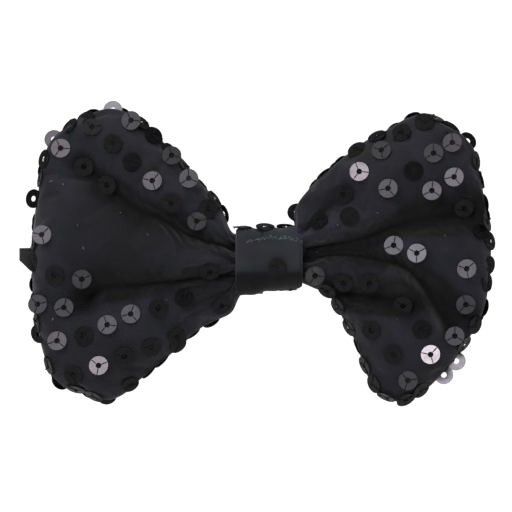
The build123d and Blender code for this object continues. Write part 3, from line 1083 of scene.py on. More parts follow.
@dataclass
class PaddedLoop:
    """One loop: sequinned cloth over light wadding, gathered into the waist.

    Attributes:
        name: left or right.
        side: -1 for the left loop, 1 for the right.
        upper: Upper edge from the waist outwards, in shares of length and half height.
        outer: Outer edge from the lower corner to the upper one.
        lower: Lower edge from the waist outwards.
        creases: Valleys and ridges of the front cloth.
        back_creases: Those of the back cloth.
        lit: Sequins that catch the key light.
        proud: Sequins that hang past the edge.
        dark: Places of the unlit sequins that show, in millimetres.
        bare: Middle and half axes of the patches without sequins, in metres.
        painted_shade_patches: Middle, half axes and depth, in millimetres, of painted shade between the
            folds.
        specks: Places of the loose fibres, in millimetres.
        seed: Fixes what is random.
        cut: Share of the cloth's rectangle that is left once its corners are cut; not used.
        crown: Share of the CAD depth that the front reaches before it is relaxed.
        waist_depth: Half the cloth's depth where it leaves the wrap.
        columns: Grid intervals along the loop.
        rows: Grid intervals across it.
        cloth_thickness: Of the cloth.
    """

    FULL_AT = 0.62  # share of the length where the cloth reaches its full crown
    FOLDS = 7  # gathers across each face at the waist
    FOLD_HEIGHT = 0.75 * MM
    RIPPLE = 0.28 * MM
    FULLNESS = (1.1, 1.04)  # flat cloth to made-up size, along and across
    DEEPEST = 5 * MM  # depth of a fold at which its mark is 1
    ROOM = 0.97  # least gap between sequins, in diameters
    SHOWN_ROOM = 1.2  # the same round those that are placed one by one, in pitches
    RIM_PITCH = 0.79  # from one edge sequin to the next, in pitches
    RIM_SLIDE = 2.6 * MM  # from the seam round the shoulder, for one that leans fully
    RIM_INSET = 0.75 * MM
    INSET = 2.2 * MM  # of the wadding under the cloth

    name: str
    side: int
    upper: Sequence[Share]
    outer: Sequence[Share]
    lower: Sequence[Share]
    creases: Sequence[Crease]
    back_creases: Sequence[Crease]
    lit: Sequence[LitSequin]
    proud: Sequence[LitSequin]
    dark: Sequence[Share]
    bare: Sequence[Tuple[float, float, float, float]]
    painted_shade_patches: Sequence[Tuple[float, float, float, float, float]]
    specks: Sequence[Share]
    seed: int
    cut: float = 0.85
    crown: float = 0.94
    waist_depth: float = 4.4 * MM
    columns: int = 72
    rows: int = 88
    cloth_thickness: float = 0.45 * MM

    def __post_init__(self) -> None:
        """Take the loop's place and size from its CAD nodes."""
        low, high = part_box(self.name + "_front_cloth")
        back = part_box(self.name + "_back_cloth")[1]
        self.root_x = high.x if self.side < 0 else low.x
        self.tip_x = low.x if self.side < 0 else high.x
        self.half_height = (high.z - low.z) / 2 + 0.7 * MM
        self.seam_y = high.y
        self.front_crown = (high.y - low.y) * self.crown
        self.back_crown = (back.y - high.y) * self.crown
        self.u = np.linspace(0, 1, self.columns + 1)[:, None]
        self.w = np.linspace(0, 1, self.rows + 1)[None, :]
        self.x, self.z = self.patch()
        self.rng = random.Random(self.seed)

    def place(self, shares: Sequence[Share]) -> np.ndarray:
        """Turn shares of the loop's size into X and Z in metres."""
        given = np.array(shares, float)
        x = self.root_x + given[:, 0] * (self.tip_x - self.root_x)
        return np.stack([x, given[:, 1] * self.half_height], axis=1)

    def patch(self) -> Tuple[np.ndarray, np.ndarray]:
        """Fill the outline with rows that fan out from the waist.

        Returns:
            X and Z of the grid.
        """
        lower = smooth_line(self.place(self.lower), self.columns)
        upper = smooth_line(self.place(self.upper), self.columns)
        outer = smooth_line(self.place(self.outer), self.rows)
        waist = np.linspace(lower[0], upper[0], self.rows + 1)
        u, w = self.u[..., None], self.w[..., None]
        rows = (1 - w) * lower[:, None] + w * upper[:, None]
        columns = (1 - u) * waist[None] + u * outer[None]
        inner, far = (1 - w) * lower[0] + w * upper[0], (1 - w) * lower[-1] + w * upper[-1]
        corners = (1 - u) * inner + u * far
        filled = rows + columns - corners
        return filled[..., 0], filled[..., 1]

    def crease_depth(self, creases: Sequence[Crease]) -> Tuple[np.ndarray, np.ndarray]:
        """How far creases sink the cloth.

        Args:
            creases: The creases of one face.

        Returns:
            The depth over the grid in metres, and how firmly each point is held by a crease.
        """
        sunk = np.zeros(self.x.shape)
        held = np.zeros(self.x.shape)
        for crease in creases:
            nearest = np.full(self.x.shape, 1.0)
            along = np.zeros(self.x.shape)
            line = smooth_line(self.place(crease.path), 48)
            for t, point in zip(np.linspace(0, 1, len(line)), line):
                gap = np.hypot(self.x - point[0], self.z - point[1])
                closer = gap < nearest
                nearest = np.where(closer, gap, nearest)
                along = np.where(closer, t, along)
            strength = 1 - (1 - crease.fade) * along
            width = crease.narrow + (crease.wide - crease.narrow) * along
            shape = np.exp(-((nearest / width) ** (1.35 if crease.depth > 0 else 2.0))) * strength
            sunk += crease.depth * shape
            if crease.depth > 0:
                held = np.maximum(held, np.exp(-((nearest / (0.6 * width)) ** 2)))
        return sunk, held

    def face_depth(self, face: Face) -> Tuple[np.ndarray, np.ndarray]:
        """Depth of one face from the seam, before the cloth is relaxed.

        Args:
            face: Front or back.

        Returns:
            The depth over the grid, and how firmly the creases hold it.
        """
        crown = self.front_crown if face is Face.FRONT else self.back_crown
        creases = self.creases if face is Face.FRONT else self.back_creases
        across = np.abs(2 * self.w - 1)
        pillow = (1 - across ** 2.6) ** 0.62
        climb = np.sin(np.clip(self.u / self.FULL_AT, 0, 1) * math.pi / 2)
        along = self.waist_depth + (crown - self.waist_depth) * climb
        end = (1 - self.u ** 7) ** 0.6
        sunk, held = self.crease_depth(creases)
        sway = 0.5 * slow_noise(self.u * 2, self.w * 3, self.seed + 5)
        gather = np.cos(math.tau * (self.FOLDS * self.w + sway))
        gather = self.FOLD_HEIGHT * gather * np.exp(-self.u / 0.2)
        ripple = self.RIPPLE * slow_noise(self.u * 4, self.w * 6, self.seed + face.value)
        taper = np.clip(pillow * end * 1.4, 0, 1)
        depth = along * pillow * end + (gather + ripple - sunk) * taper
        return np.maximum(depth, 0.15 * MM * taper), held

    def grid(self) -> Tuple[np.ndarray, np.ndarray, np.ndarray, np.ndarray]:
        """Closed pillow of both faces, which share their edge.

        Returns:
            The points, the front's and the back's vertex numbers, and how firmly each point is held.
        """
        front, front_held = self.face_depth(Face.FRONT)
        back, back_held = self.face_depth(Face.BACK)
        points = [np.stack([self.x, self.seam_y - front, self.z], axis=2).reshape(-1, 3)]
        held = [front_held.ravel()]
        front_index = np.arange(self.x.size).reshape(self.x.shape)
        back_index = front_index.copy()
        inner = np.s_[: self.columns, 1:self.rows]
        count = back_index[inner].size
        back_index[inner] = self.x.size + np.arange(count).reshape(back_index[inner].shape)
        behind = np.stack([self.x, self.seam_y + back, self.z], axis=2)
        points.append(behind[inner].reshape(-1, 3))
        held.append(back_held[inner].ravel())
        firm = np.concatenate(held)
        edge = np.zeros(self.x.shape, bool)
        edge[:, [0, -1]] = True
        edge[-1, :] = True
        firm[front_index[edge]] = 1.0
        firm[front_index[:2]] = 1.0
        firm[back_index[:2]] = 1.0
        return np.vstack(points), front_index, back_index, firm

    def faces(self, front: np.ndarray, back: np.ndarray) -> Quads:
        """Outward quads of the closed pillow."""
        flip = self.side < 0
        return grid_faces(front, flip) + grid_faces(back, not flip)

    def relax(self, points: np.ndarray, faces: Sequence[Sequence[int]], firm: np.ndarray) -> np.ndarray:
        """Let the cloth settle over its filling, by cloth simulation.

        Args:
            points: The pillow's points in metres.
            faces: Its faces.
            firm: How firmly each point is held, from 0 to 1.

        Returns:
            The settled points.
        """
        grow, frames, most = 10.0, 20, 1.8 * MM
        trial = mesh_piece(self.name + "_trial", points * grow, faces)
        holding = trial.vertex_groups.new(name="held")
        for k, weight in enumerate(firm):
            holding.add([k], float(weight), "REPLACE")
        modifier = trial.modifiers.new("cloth", "CLOTH")
        settings = modifier.settings
        settings.quality = 6
        settings.mass = 0.3
        settings.tension_stiffness = 18.0
        settings.compression_stiffness = 12.0
        settings.bending_stiffness = 0.35
        settings.shrink_min = -0.05
        settings.use_pressure = True
        settings.uniform_pressure_force = 4.0
        settings.vertex_group_mass = "held"
        settings.pin_stiffness = 1.0
        settings.effector_weights.gravity = 0.0
        modifier.collision_settings.use_collision = False
        modifier.point_cache.frame_start = 1
        modifier.point_cache.frame_end = frames
        for number in range(1, frames + 1):
            bpy.context.scene.frame_set(number)
        settled = trial.evaluated_get(bpy.context.evaluated_depsgraph_get()).to_mesh()
        result = np.zeros(len(points) * 3)
        settled.vertices.foreach_get("co", result)
        result = result.reshape(-1, 3) / grow
        bpy.data.objects.remove(trial)
        bpy.context.scene.frame_set(1)
        moved = result - points
        size = np.linalg.norm(moved, axis=1, keepdims=True)
        return points + moved * np.minimum(1.0, most / np.maximum(size, 1e-9))

    def build(self, wardrobe: Wardrobe, shop: SequinShop) -> None:
        """Make the loop's panels, wadding and sequins.

        Args:
            wardrobe: The materials.
            shop: Where its sequins are made.
        """
        points, front, back, firm = self.grid()
        faces = self.faces(front, back)
        points = self.relax(points, faces, firm)
        self.skin = BVHTree.FromPolygons([Vector(p) for p in points], faces)
        self.fill_with_wadding(points, front, back, wardrobe)
        for face, index in ((Face.FRONT, front), (Face.BACK, back)):
            self.panel(points[index], face, wardrobe)
            seats = self.row_seats(points[index], face, shop)
            name = f"{self.name}_{face.name.lower()}_sequin"
            shop.sew(name, seats, name + "s", self.seed + face.value)
        specks = [Seat(*self.front_point(points[front], x * MM, z * MM), VIEWER) for x, z in self.specks]
        shop.fray(f"{self.name}_loose_fibres", specks, 0.7 * MM, 0.16 * MM, self.seed)
        edge = np.vstack([points[front[:, 0]], points[front[-1, 1:]], points[front[-2::-1, -1]]])
        name = f"{self.name}_rim_sequin"
        shop.sew(name, self.rim_seats(edge, shop), name + "s", self.seed)

    def painted_patch_shade(self, surface: np.ndarray) -> np.ndarray:
        """How much painted shade the front cloth gets between its folds, over what its creases give,
        without moving it.

        Args:
            surface: Its grid of points.

        Returns:
            A depth for each point, in metres.
        """
        deeper = np.zeros(self.x.shape)
        for x, z, wide, tall, depth in self.painted_shade_patches:
            across, up = surface[..., 0] / MM - x, surface[..., 2] / MM - z
            reach = (across / wide) ** 2 + (up / tall) ** 2
            deeper = np.maximum(deeper, depth * MM * np.exp(-reach ** 2))
        return deeper

    def panel(self, surface: np.ndarray, face: Face, wardrobe: Wardrobe) -> None:
        """Make one cloth panel.

        Args:
            surface: Its grid of points.
            face: Front or back.
            wardrobe: The materials.
        """
        word = face.name.lower()
        length, height = abs(self.tip_x - self.root_x), 2 * self.half_height
        cloth = np.stack(np.broadcast_arrays(self.u * length, self.w * height), axis=2).reshape(-1, 2)
        index = np.arange(self.x.size).reshape(self.x.shape)
        flip = (self.side < 0) == (face is Face.FRONT)
        points = surface.reshape(-1, 3)
        piece = mesh_piece(f"{self.name}_{word}_panel", points, grid_faces(index, flip), cloth)
        # Painted shade: crease depth, with the painted shade patches on the front, becomes the folded mark.
        sunk, _ = self.crease_depth(self.creases if face is Face.FRONT else self.back_creases)
        if face is Face.FRONT:
            sunk = sunk + self.painted_patch_shade(surface)
        mark_painted_shading(piece, np.clip(sunk.ravel() / self.DEEPEST, -0.5, 1.0))
        soften(piece)
        thicken(piece, self.cloth_thickness)
        settle(piece)
        wardrobe.finish(piece, Slot.SEQUIN_CLOTH, f"{self.name}_{word}_cloth")

    def fill_with_wadding(
        self, points: np.ndarray, front: np.ndarray, back: np.ndarray, wardrobe: Wardrobe
    ) -> None:
        """Make the wadding as the pillow drawn in under the cloth.

        Args:
            points: The pillow's points.
            front: The front's vertex numbers.
            back: The back's.
            wardrobe: The materials.
        """
        columns = np.r_[3:self.columns - 2:3]
        rows = np.r_[4:self.rows - 3:4]
        middle = (points[front] + points[back]) / 2
        layers = []
        for index in (front, back):
            toward = middle - points[index]
            depth = np.linalg.norm(toward, axis=2, keepdims=True)
            layers.append(points[index] + toward * np.minimum(self.INSET / np.maximum(depth, 1e-6), 0.8))
        sides = [layer[np.ix_(columns, rows)] for layer in layers]
        count = sides[0].shape[0] * sides[0].shape[1]
        near = np.arange(count).reshape(sides[0].shape[:2])
        far = near + count
        flip = self.side < 0
        faces = grid_faces(near, flip) + grid_faces(far, not flip)
        ring = np.concatenate([near[:, 0], near[-1, 1:], near[-2::-1, -1], near[0, -2:0:-1]])
        for a, b in zip(ring, np.roll(ring, -1)):
            wall = (a, a + count, b + count, b)
            faces.append(tuple(int(v) for v in (wall if not flip else wall[::-1])))
        piece = mesh_piece(f"{self.name}_filling", np.vstack([s.reshape(-1, 3) for s in sides]), faces)
        turn_outwards(piece)
        soften(piece)
        settle(piece)
        wardrobe.finish(piece, Slot.WADDING, f"{self.name}_wadding")

    def sample(self, surface: np.ndarray, u: float, w: float) -> Tuple[Vector, Vector]:
        """Point and unoriented normal of a panel at cloth coordinates from 0 to 1."""
        i = min(max(u * self.columns, 0.0), self.columns - 1e-6)
        j = min(max(w * self.rows, 0.0), self.rows - 1e-6)
        a, b = int(i), int(j)
        s, t = i - a, j - b
        patch = surface[a:a + 2, b:b + 2]
        near, far = ((1 - t) * row[0] + t * row[1] for row in patch)
        point = (1 - s) * near + s * far
        low_i, high_i = max(a - 2, 0), min(a + 3, self.columns)
        low_j, high_j = max(b - 2, 0), min(b + 3, self.rows)
        along = surface[high_i, b] - surface[low_i, b]
        across = surface[a, high_j] - surface[a, low_j]
        return Vector(point), Vector(np.cross(along, across)).normalized()

    def row_seats(self, surface: np.ndarray, face: Face, shop: SequinShop) -> List[Seat]:
        """Seats in rows that fan out from the waist, thinned where the gathers swallow them.

        Args:
            surface: The panel's grid of points.
            face: Front or back.
            shop: Gives the sequins' sizes.

        Returns:
            The seats.
        """
        outer = np.linalg.norm(np.diff(surface[-1], axis=0), axis=1).sum()
        count = round(outer / shop.pitch)
        clear = abs(self.root_x) + 0.55 * shop.diameter
        seats = self.lit_seats(surface) + self.dark_seats(surface) if face is Face.FRONT else []
        shown = len(seats)
        for j in range(count):
            w = (j + 0.5) / count
            line = surface[:, round(w * self.rows)]
            run = run_along(line)
            spot = run[-1] - shop.pitch * (0.45 + 0.5 * (j % 2))
            while spot > 0:
                u = float(np.interp(spot, run, self.u[:, 0]))
                spot -= shop.pitch
                a = round(u * self.columns)
                gap = np.linalg.norm(surface[a, -1] - surface[a, 0]) / count
                step = 1 if gap > 0.78 * shop.diameter else (2 if gap > 0.42 * shop.diameter else 4)
                jitter = self.rng.uniform(-0.012, 0.012), self.rng.uniform(-0.008, 0.008)
                painted_glint, tint = self.rng.random(), self.rng.random()
                if j % step != step // 2:
                    continue
                point, normal = self.sample(surface, u + jitter[0], w + jitter[1])
                if normal.y * face.value < 0:
                    normal = -normal
                gaps = [(seat.point - point).length for seat in seats]
                crowded = min(gaps, default=math.inf) < self.ROOM * shop.diameter
                crowded = crowded or min(gaps[:shown], default=math.inf) < self.SHOWN_ROOM * shop.pitch
                if abs(point.x) < clear or crowded:
                    continue
                if face is Face.FRONT and self.is_bare(point):
                    continue
                facing = Studio.turned_off_light(normal) if face is Face.FRONT else normal
                # Painted glint: a faint one on a few sequins at random.
                shine = 0.02 if painted_glint > 0.88 else 0.0
                seats.append(Seat(point, normal, facing, shine, tint))
        for seat in seats:
            shop.rest_on(seat, self.skin)
        return seats

    def is_bare(self, point: Vector) -> bool:
        """Whether a point of the front lies in a patch without sequins."""
        return any(math.hypot((point.x - x) / rx, (point.z - z) / rz) < 1 for x, z, rx, rz in self.bare)

    def front_point(self, surface: np.ndarray, x: float, z: float) -> Tuple[Vector, Vector]:
        """Point and outward normal of the front at a place seen from in front."""
        gap = np.hypot(surface[..., 0] - x, surface[..., 2] - z)
        a, b = np.unravel_index(np.argmin(gap), gap.shape)
        point, normal = self.sample(surface, a / self.columns, b / self.rows)
        return Vector((x, point.y, z)), normal if normal.y < 0 else -normal

    def lit_seats(self, surface: np.ndarray) -> List[Seat]:
        """Seats of the sequins that catch the key light."""
        seats = []
        for lit in self.lit:
            point, normal = self.front_point(surface, lit.x, lit.z)
            share = min(1.0, 0.6 + 0.4 * lit.painted_glint / 0.06)
            facing = Studio.turned_off_light(normal).lerp(Studio.toward_light(point), share).normalized()
            # Each is turned to the light and also carries its painted glint.
            seats.append(Seat(point, normal, facing, lit.painted_glint, lit.tint, 0.0))
        return seats

    def dark_seats(self, surface: np.ndarray) -> List[Seat]:
        """Seats of the unlit sequins that show."""
        seats = []
        for x, z in self.dark:
            point, normal = self.front_point(surface, x * MM, z * MM)
            facing = Studio.turned_off_light(normal.lerp(VIEWER, 0.4).normalized())
            seats.append(Seat(point, normal, facing, 0.0, 0.5, 0.5))
        return seats

    def rim_seats(self, edge: np.ndarray, shop: SequinShop) -> List[Seat]:
        """Seats round the loop's edge, a few of which stand out from it.

        Args:
            edge: The seam's points, all the way round from the waist.
            shop: Gives the sequins' sizes.

        Returns:
            The seats.
        """
        run = run_along(edge)
        clear = abs(self.root_x) + 0.45 * shop.diameter
        count = int(run[-1] / (self.RIM_PITCH * shop.pitch))
        proud = [(Vector((p.x, self.seam_y, p.z)), p) for p in self.proud]
        seats = []
        for k in range(count):
            spot = (k + 0.5 + self.rng.uniform(-0.12, 0.12)) * run[-1] / count
            place = [
                Vector([np.interp(spot + step, run, edge[:, c]) for c in range(3)])
                for step in (-MM, 0.0, MM)
            ]
            along = (place[2] - place[0]).normalized()
            outward = Vector((along.z, 0.0, -along.x)) * self.side
            lean = self.rng.choice((-1, 1, 1)) * self.rng.uniform(0.3, 0.85)
            tint, shine = self.rng.random(), self.rng.random()
            if abs(place[1].x) < clear:
                continue
            near = [p for spot, p in proud if (spot - place[1]).length < 0.6 * shop.pitch]
            if near:
                ring = near[0]
                proud = [pair for pair in proud if pair[1] is not ring]
                point = Vector((ring.x, place[1].y - 0.6 * MM, ring.z))
                facing = (outward * 0.7 + VIEWER).normalized()
                if ring.painted_glint > 0.03:
                    facing = Studio.toward_light(point)
                seats.append(Seat(point, outward, facing, ring.painted_glint, ring.tint, 0.3, True))
                continue
            facing = (outward + VIEWER * lean).normalized()
            # Painted glint: a faint one on a few edge sequins at random.
            painted_glint = 0.03 if shine > 0.8 else 0.0
            reach = self.RIM_SLIDE * lean / math.hypot(1.0, lean)
            slide = (VIEWER - outward * lean).normalized() * reach
            point = place[1] + slide - outward * self.RIM_INSET
            seat = Seat(point, outward, facing, painted_glint, tint)
            shop.rest_on(seat, self.skin, 0.02 * MM, 1.2 * MM)
            seats.append(seat)
        for spot, ring in proud:
            facing = (VIEWER + Vector((0.1, 0.0, 0.35)) * math.copysign(1.0, ring.z)).normalized()
            seats.append(Seat(spot + VIEWER * MM, facing, facing, ring.painted_glint, ring.tint, 0.3, True))
        return seats


# Waist


def rounded_section(
    half_y: float, half_z: float, corner: float, count: int
) -> Tuple[np.ndarray, np.ndarray]:
    """Evenly spaced points round a rounded rectangle, from the middle of its front.

    Args:
        half_y: Half its depth.
        half_z: Half its height.
        corner: Corner radius.
        count: How many points.

    Returns:
        The points as Y and Z, and the outward normals.
    """
    dense, normals = [], []
    centres = ((-1, 1), (1, 1), (1, -1), (-1, -1))
    for k, (sy, sz) in enumerate(centres):
        middle = np.array([sy * (half_y - corner), sz * (half_z - corner)])
        start = math.pi - k * math.pi / 2
        for t in np.linspace(0, math.pi / 2, 24):
            way = np.array([math.cos(start - t), math.sin(start - t)])
            dense.append(middle + corner * way)
            normals.append(way)
    line, way = np.array(dense + dense[:1]), np.array(normals + normals[:1])
    run = run_along(line)
    wanted = np.linspace(0, run[-1], count, endpoint=False)
    spread = np.stack([np.interp(wanted, run, line[:, c]) for c in range(2)], axis=1)
    outward = np.stack([np.interp(wanted, run, way[:, c]) for c in range(2)], axis=1)
    return spread, outward / np.linalg.norm(outward, axis=1, keepdims=True)


@dataclass
class Waist:
    """The gathered cloth, the thread that binds it and the strip wrapped over both.

    Attributes:
        wardrobe: The materials.
        around: Grid intervals round the waist.
        across: Grid intervals along X.
        strip: Thickness of the folded strip.
        corner: Radius of the wrap's corners.
        slope: How much lower the underside lies at the left end than in the middle.
    """

    FIBRES = 64  # along the frayed edge

    wardrobe: Wardrobe
    around: int = 132
    across: int = 44
    strip: float = 0.9 * MM
    corner: float = 5.4 * MM
    slope: float = 0.14

    def __post_init__(self) -> None:
        """Take the waist's place and size from the CAD wrap."""
        low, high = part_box("centre_wrap")
        self.middle_y = (low.y + high.y) / 2
        self.half = Vector(((high.x - low.x) / 2, (high.y - low.y) / 2, (high.z - low.z) / 2))

    def tube(
        self, name: str, half_x: float, shape: Callable[[np.ndarray, np.ndarray], np.ndarray],
        half_y: float, half_z: float, corner: float
    ) -> Piece:
        """A tube round the waist whose wall is pushed outwards by a function.

        Args:
            name: The piece's name.
            half_x: Half its length.
            shape: Outward push over the grid, from shares along X and round the waist.
            half_y: Half the section's depth.
            half_z: Half the section's height.
            corner: The section's corner radius.

        Returns:
            The tube, open at both ends.
        """
        section, outward = rounded_section(half_y, half_z, corner, self.around)
        s = np.linspace(-1, 1, self.across + 1)[:, None]
        t = np.linspace(0, 1, self.around, endpoint=False)[None, :]
        push = shape(s, t)
        y = self.middle_y + section[None, :, 0] + push * outward[None, :, 0]
        z = section[None, :, 1] + push * outward[None, :, 1]
        z = np.where(z < 0, z * (1.0 - self.slope * s), z)
        x = np.broadcast_to(s * half_x, y.shape)
        points = np.stack([x, y, z], axis=2).reshape(-1, 3)
        index = np.arange(len(points)).reshape(self.across + 1, self.around)
        index = np.hstack([index, index[:, :1]])
        girth = 2 * math.pi * corner + 4 * (half_y + half_z - 2 * corner)
        cloth = np.stack(np.broadcast_arrays(t * girth, s * half_x), axis=2).reshape(-1, 2)
        return mesh_piece(name, points, grid_faces(index, False), cloth)

    def wrap(self) -> None:
        """Make the folded strip, with soft folds along it and rolled edges."""

        def shape(s: np.ndarray, t: np.ndarray) -> np.ndarray:
            """Outward push of the strip."""
            folds = 0.22 * MM * np.sin(9.0 * s + 1.3 * np.sin(math.tau * t) + 0.6)
            soft = 0.2 * MM * slow_noise(s * 1.2, np.cos(math.tau * t) + 0.4 * np.sin(math.tau * t), 41)
            rolled = -0.6 * MM * np.clip((np.abs(s) - 0.85) / 0.15, 0, 1) ** 2
            tuck = -0.3 * MM * np.exp(-(((t - 0.93) / 0.03) ** 2))
            return folds + soft + rolled + tuck

        half_y, half_z = self.half.y - 0.3 * MM, self.half.z - 0.3 * MM
        piece = self.tube("wrap_strip", self.half.x, shape, half_y, half_z, self.corner)
        height = np.array([v.co.z for v in piece.data.vertices])
        # Painted shade on the strip's lower part and a painted highlight on a band above its middle, set by
        # height.
        painted_lower_shade = 0.62 * np.clip((-2.6 * MM - height) / (0.8 * MM), 0, 1)
        painted_lit_band = -0.5 * np.clip(1.3 - np.abs(height - 1.4 * MM) / (4.6 * MM), 0, 1)
        mark_painted_shading(piece, painted_lower_shade + painted_lit_band)
        soften(piece)
        thicken(piece, self.strip)
        settle(piece)
        self.wardrobe.finish(piece, Slot.WRAP_CLOTH, "centre_wrap")

    def gathers(self) -> None:
        """Make the gathered cloth inside the wrap."""
        low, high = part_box("waist_gathers")

        def shape(s: np.ndarray, t: np.ndarray) -> np.ndarray:
            """Outward push of the gathers."""
            return -0.5 * MM + 0.45 * MM * np.cos(math.tau * 15 * t + 0.8 * np.sin(3 * s))

        half_y, half_z = (high.y - low.y) / 2, (high.z - low.z) / 2
        piece = self.tube("waist_folds", high.x, shape, half_y, half_z, 2.0 * MM)
        turn_outwards(piece, close=True)
        self.wardrobe.finish(piece, Slot.SEQUIN_CLOTH, "waist_gathers")

    def sequins(self, shop: SequinShop) -> None:
        """Sew the few sequins that the strip kept."""
        front, middle = self.middle_y - self.half.y, self.middle_y
        top = self.half.z - 0.2 * MM
        above, below = Vector((0, -0.2, 0.98)), Vector((0, 0.05, -1))
        seats = [
            Seat(Vector((2.1 * MM, front - 0.1 * MM, -2.2 * MM)), VIEWER, Vector((0.05, -1, -0.2))),
            Seat(Vector((-7.0 * MM, middle - 1.9 * MM, top - 0.1 * MM)), above, above),
            Seat(Vector((-1.0 * MM, middle - 2.2 * MM, top)), above, Vector((0.05, -0.4, 0.9))),
            Seat(Vector((4.4 * MM, middle + 1.4 * MM, top)), above, Vector((0, 0.2, 0.98))),
            Seat(Vector((-4.0 * MM, middle + 1.6 * MM, -top + 0.1 * MM)), below, below),
            Seat(Vector((4.8 * MM, middle + MM, -top + 0.6 * MM)), below, below),
        ]
        shop.sew("wrap_sequin", seats, "wrap_sequins", 71)

    def frayed_edge(self, shop: SequinShop) -> None:
        """Fray the strip's raw edge, a line of fibres across its front coloured pale as a painted glint."""
        rng = random.Random(52)
        front = self.middle_y - self.half.y + 0.15 * MM
        upward = Vector((0.1, -0.8, 0.5)).normalized()
        seats = []
        last = self.FIBRES - 1
        for k in range(self.FIBRES):
            x = (-6.2 + 14.4 * k / last) * MM + rng.uniform(-0.3, 0.3) * MM
            z = (4.6 + 0.9 * math.sin(3.0 * k / last)) * MM + rng.uniform(-0.35, 0.35) * MM
            depth = 0.25 * MM * max(0.0, z / MM - 4.2)
            seats.append(Seat(Vector((x, front + depth, z)), VIEWER, upward))
        shop.fray("frayed_edge", seats, 0.62 * MM, 0.07 * MM, 53)

    def build(self, shop: SequinShop) -> None:
        """Make every piece of the waist."""
        self.frayed_edge(shop)
        self.gathers()
        self.wrap()
        self.sequins(shop)
        self.wardrobe.dress_node("binding_thread", Slot.THREAD)


# Backing and clip


@dataclass
class Backing:
    """Felt pad, its running stitches and the glue under the clip.

    Attributes:
        wardrobe: The materials.
        corner: Radius of the corners in plan.
        seed: Fixes how the faces wander.
    """

    wardrobe: Wardrobe
    corner: float = 2.0 * MM
    seed: int = 17

    def slab(self, name: str, node: str, slump: float) -> Piece:
        """A rounded slab with soft edges in the place of a CAD pad.

        Args:
            name: The piece's name.
            node: The CAD pad.
            slump: How far its faces and edges wander.

        Returns:
            The slab.
        """
        low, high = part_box(node)
        half_x, half_z, thick = (high.x - low.x) / 2, (high.z - low.z) / 2, high.y - low.y
        rim, _ = rounded_section(half_x, half_z, self.corner, 96)
        rings = [(0.0, 0.0), (0.5, 0.0), (0.9, 0.0), (0.975, 0.08), (1.0, 0.3)]
        rings += [(scale, 1.0 - depth) for scale, depth in rings[::-1]]
        points = []
        for scale, depth in rings:
            for x, z in rim:
                place = np.array(x * 400), np.array(z * 400 + depth)
                wander = slump * float(slow_noise(*place, self.seed))
                grow = scale * (1 + wander / half_x * (scale > 0.95))
                rise = wander * 0.5 * (1 if depth in (0.0, 1.0) and 0 < scale < 0.95 else 0)
                points.append((x * grow, low.y + depth * thick + rise, z * grow))
        index = np.arange(len(points)).reshape(len(rings), len(rim))
        index = np.hstack([index, index[:, :1]])
        piece = mesh_piece(name, np.array(points), grid_faces(index, False))
        turn_outwards(piece, merge=True)
        shade_smooth(piece.data)
        return piece

    def build(self) -> None:
        """Make the felt, its stitches and the glue."""
        felt = self.slab("felt_pad", "felt_backing", 0.12 * MM)
        self.wardrobe.finish(felt, Slot.FELT, "felt_backing")
        glue = self.slab("glue_pad", "clip_glue", 0.3 * MM)
        self.wardrobe.finish(glue, Slot.GLUE, "clip_glue")
        self.wardrobe.dress_node("felt_stitches", Slot.THREAD)


